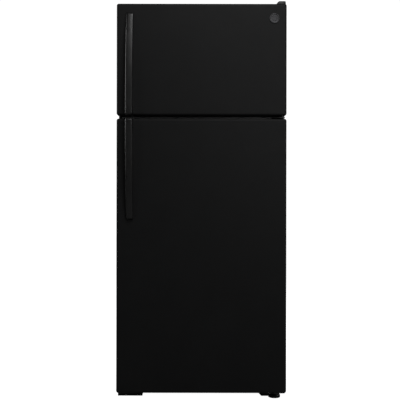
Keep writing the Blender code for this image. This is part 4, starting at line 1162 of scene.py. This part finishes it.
def fan_guard():
    """A wire guard over the evaporator fan's hole, held by four studs."""
    fan_low, fan_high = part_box("evaporator_fan_blades")
    centre = (fan_low + fan_high) / 2
    centre.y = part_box("evaporator_cover")[0].y - 0.0022
    stud = [(0.0, 0.0), (0.0042, 0.0), (0.0042, 0.0016), (0.003, 0.0026), (0.0, 0.0026)]
    bm = bmesh.new()
    for radius in (0.012, 0.023, 0.034, 0.045, 0.0565):
        ring = []
        for angle in around(48) + [2 * math.pi]:
            ring.append(centre + radius * Vector((math.cos(angle), 0, math.sin(angle))))
        tube(bm, ring, 0.0011, 8)
    for index in range(4):
        angle = math.radians(45 + 90 * index)
        direction = Vector((math.cos(angle), 0, math.sin(angle)))
        start, end = [centre + Vector((0, 0.0013, 0)) + direction * reach for reach in (0.011, 0.063)]
        tube(bm, [start, end], 0.0011, 8)
        turned(bm, stud, facing((0, -1, 0), end + Vector((0, 0.0009, 0))), 20)
    piece("fan_guard", bm, WHITE_PLASTIC)


def evaporator_cover_ribs():
    """Upright ribs along the lower part of the evaporator's cover, four on each side."""
    low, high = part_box("evaporator_cover")
    bm = bmesh.new()
    for index in (-4, -3, -2, -1, 1, 2, 3, 4):
        x = index * 0.062
        ends = (x - 0.004, low.z + 0.045), (x + 0.004, high.z - 0.15)
        stadium(bm, *ends, -0.0014, low.y, 0.0012, 0.0008)
    piece("evaporator_cover_ribs", bm, WHITE_PLASTIC)


def refrigerant_tubes():
    """Copper lines from the compressor to the condenser and the cabinet."""
    low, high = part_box("compressor")
    x, y, z = (low.x + high.x) / 2 - 0.055, (low.y + high.y) / 2, low.z + 0.11
    side = low.x - 0.006
    bm = bmesh.new()
    suction = [
        (x, y - 0.02, z), (x - 0.026, y - 0.04, z + 0.01), (side - 0.004, y - 0.07, z + 0.035),
        (side, y - 0.088, 0.235), (side, y - 0.09, 0.288),
    ]
    tube(bm, smooth_line(suction, 8), 0.0038, 12)
    inlet_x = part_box("condenser")[1].x
    discharge = [
        (x, y + 0.03, z - 0.03), (x - 0.03, y + 0.055, z - 0.02), (side - 0.01, y + 0.074, z + 0.02),
        (side - 0.06, y + 0.078, 0.262), (inlet_x + 0.03, y + 0.05, 0.262),
        (inlet_x - 0.012, y + 0.01, 0.25), (inlet_x - 0.016, y - 0.001, 0.236),
    ]
    tube(bm, smooth_line(discharge, 8), 0.0028, 12)
    piece("refrigerant_lines", bm, COPPER)


def machine_parts():
    eased("compressor", ENAMEL, 0.001, 2)
    kept("condenser", BLACK_STEEL[0])
    kept("drain_pan", DARK_PLASTIC[0])
    eased("base_pan", GALVANISED, 0.0004, 1)
    eased("condenser_fan_motor", GALVANISED, 0.0004, 1)
    eased("evaporator_fan_motor", GALVANISED, 0.0004, 1)
    kept("evaporator", ALUMINIUM)
    kept("defrost_heater", HEATER_METAL)
    fan("condenser_fan_blades", (1, 0, 0), 5, 0.066, 0.015, 0.02)
    fan("evaporator_fan_blades", (0, -1, 0), 5, 0.0485, 0.014, 0.015)
    refrigerant_tubes()


def inlet():
    """The strain relief bush on the compressor cover, with its moulded rings."""
    centre = centre_at("cord_inlet", BACK)
    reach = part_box("cord_inlet")[1].y - BACK
    profile = rounded_path([
        (0.0, -0.008), (0.008, -0.008, 0.0005), (0.008, 0.0003), (0.0113, 0.0003, 0.0004),
        (0.0113, 0.0024, 0.0006), (0.0098, 0.003, 0.0003), (0.0098, 0.004, 0.0003),
        (0.0088, reach, 0.0008), (0.0045, reach, 0.0005), (0.004, reach - 0.003, 0.0003),
        (0.0, reach - 0.003),
    ], 3)
    bm = bmesh.new()
    turned(bm, profile, facing((0, 1, 0), centre), 48)
    piece("cord_inlet_bush", bm, RUBBER, "cord_inlet")


def cabinet():
    outer_wrap()
    compartments()
    rear_sheet()
    rear_sheet_screws()
    foam_port_plugs()
    eased("compressor_cover", DARK_PLASTIC, 0.0004, 1)
    cover_screws()
    # The centre rail gets the lightened grey, painted light in the gap between the doors
    eased("centre_rail", RAIL_PAINTED_GAP_LIGHT, 0.0003, 1)
    eased("top_hinge", ZINC, 0.0005, 2)
    eased("top_hinge_cover", BLACK_PLASTIC, 0.0004, 2)
    for node in ("centre_hinge", "bottom_hinge"):
        eased(node, BLACK_STEEL, 0.0005, 2)
    for node in ("roller_bracket_left", "roller_bracket_right"):
        eased(node, ZINC, 0.0005, 2)
    hinge_screws()
    grille()
    kept("cabinet_foam", FOAM)
    eased("evaporator_cover", WHITE_PLASTIC, 0.0005, 2)
    fan_guard()
    evaporator_cover_ribs()
    inlet()
    for node in ("levelling_foot_left", "levelling_foot_right"):
        levelling_foot(node)
    for node in ("rear_roller_left", "rear_roller_right"):
        rear_roller(node)


def doors():
    for prefix, dyke, handle in (
        ("freezer_door", FREEZER_DYKE, FREEZER_GRIP),
        ("fresh_food_door", FRESH_DYKE, FRESH_GRIP),
    ):
        door_skin(prefix)
        door_inner(prefix, dyke)
        door_seal(prefix)
        door_grip(prefix, *handle)
        kept(prefix + "_foam", FOAM)
    hinge_bushings()
    badge_disc()
    for node in ("freezer_door_bin_lower", "freezer_door_bin_upper", "door_bin_lower", "door_bin_middle"):
        door_bin(node)
    eased("dairy_compartment", WHITE_PLASTIC, 0.0005, 2)
    eased("dairy_lid", CLEAR, 0.0004, 2)


# Stage

CAMERA_LENS = 64.7
CAMERA_SIDE = -0.006
CAMERA_DISTANCE = 3.0
CAMERA_HEIGHT = 0.85
CAMERA_ROLL = -0.1
FLOOR_GREY = 0.3
SKY_SEEN, SKY_LIT = 1.05, 0.06


def floor_material(lit):
    """White where the camera looks straight at it, and a plain matt grey to every other ray."""
    material = bpy.data.materials.new("studio_floor")
    material.use_nodes = True
    tree = material.node_tree
    tree.nodes.clear()
    path = tree.nodes.new("ShaderNodeLightPath")
    matt = tree.nodes.new("ShaderNodeBsdfDiffuse")
    matt.inputs["Color"].default_value = (lit, lit, lit, 1.0)
    glow = tree.nodes.new("ShaderNodeEmission")
    glow.inputs["Color"].default_value = (1.0, 1.0, 1.0, 1.0)
    tree.links.new(path.outputs["Is Camera Ray"], glow.inputs["Strength"])
    both = tree.nodes.new("ShaderNodeAddShader")
    tree.links.new(matt.outputs[0], both.inputs[0])
    tree.links.new(glow.outputs[0], both.inputs[1])
    out = tree.nodes.new("ShaderNodeOutputMaterial")
    tree.links.new(both.outputs[0], out.inputs["Surface"])
    return material


def studio_floor():
    bm = bmesh.new()
    bmesh.ops.create_grid(bm, x_segments=8, y_segments=8, size=14.0)
    mesh = bpy.data.meshes.new("studio_floor")
    bm.to_mesh(mesh)
    bm.free()
    floor = bpy.data.objects.new("studio_floor", mesh)
    mesh.materials.append(floor_material(FLOOR_GREY))
    bpy.context.scene.collection.objects.link(floor)


def soft_light(name, place, target, size, power):
    light = bpy.data.lights.new(name, "AREA")
    light.shape = "RECTANGLE"
    light.size, light.size_y = size
    light.energy = power
    obj = bpy.data.objects.new(name, light)
    obj.location = place
    obj.rotation_euler = (Vector(target) - Vector(place)).to_track_quat("-Z", "Y").to_euler()
    bpy.context.scene.collection.objects.link(obj)


def surroundings(seen, lit):
    world = bpy.data.worlds.new("studio")
    world.use_nodes = True
    tree = world.node_tree
    background = tree.nodes["Background"]
    path = tree.nodes.new("ShaderNodeLightPath")
    mix = tree.nodes.new("ShaderNodeMapRange")
    mix.inputs["To Min"].default_value = lit
    mix.inputs["To Max"].default_value = seen
    tree.links.new(path.outputs["Is Camera Ray"], mix.inputs["Value"])
    tree.links.new(mix.outputs["Result"], background.inputs["Strength"])
    background.inputs["Color"].default_value = (1.0, 1.0, 1.0, 1.0)
    bpy.context.scene.world = world


def camera():
    """Square on to the doors, in front of them at half their height."""
    data = bpy.data.cameras.new("camera")
    data.lens = CAMERA_LENS
    data.sensor_width = 36.0
    obj = bpy.data.objects.new("camera", data)
    obj.location = (CAMERA_SIDE, DOOR_FRONT - CAMERA_DISTANCE, CAMERA_HEIGHT)
    obj.rotation_euler = (math.radians(90), math.radians(CAMERA_ROLL), 0)
    bpy.context.scene.collection.objects.link(obj)
    bpy.context.scene.camera = obj


def studio():
    studio_floor()
    surroundings(SKY_SEEN, SKY_LIT)
    soft_light("key", (0.4, -2.3, 3.1), (0.0, -0.36, 0.9), (1.4, 0.9), 36.0)
    soft_light("front", (1.1, -3.3, 1.5), (0.0, -0.36, 1.1), (1.0, 1.0), 15.0)
    soft_light("edge", (-1.9, -2.7, 1.45), (-0.3, -0.4, 1.25), (0.1, 1.5), 3.2)
    for name, side in (("left", -3.0), ("right", 3.0)):
        soft_light(name, (side, 1.0, 2.0), (0.0, 0.0, 0.9), (1.2, 1.6), 28.0)
    soft_light("back", (0.5, 2.8, 2.6), (0.0, 0.4, 0.8), (2.0, 1.2), 40.0)
    camera()
    bpy.context.scene.view_settings.view_transform = "Standard"


def fittings():
    for node in ("crisper_drawer_left", "crisper_drawer_right"):
        crisper(node)
    for node in ("crisper_cover", "lower_shelf", "upper_shelf"):
        glass_shelf(node)
    wire_shelf()


doors()
cabinet()
fittings()
controls()
machine_parts()
studio()
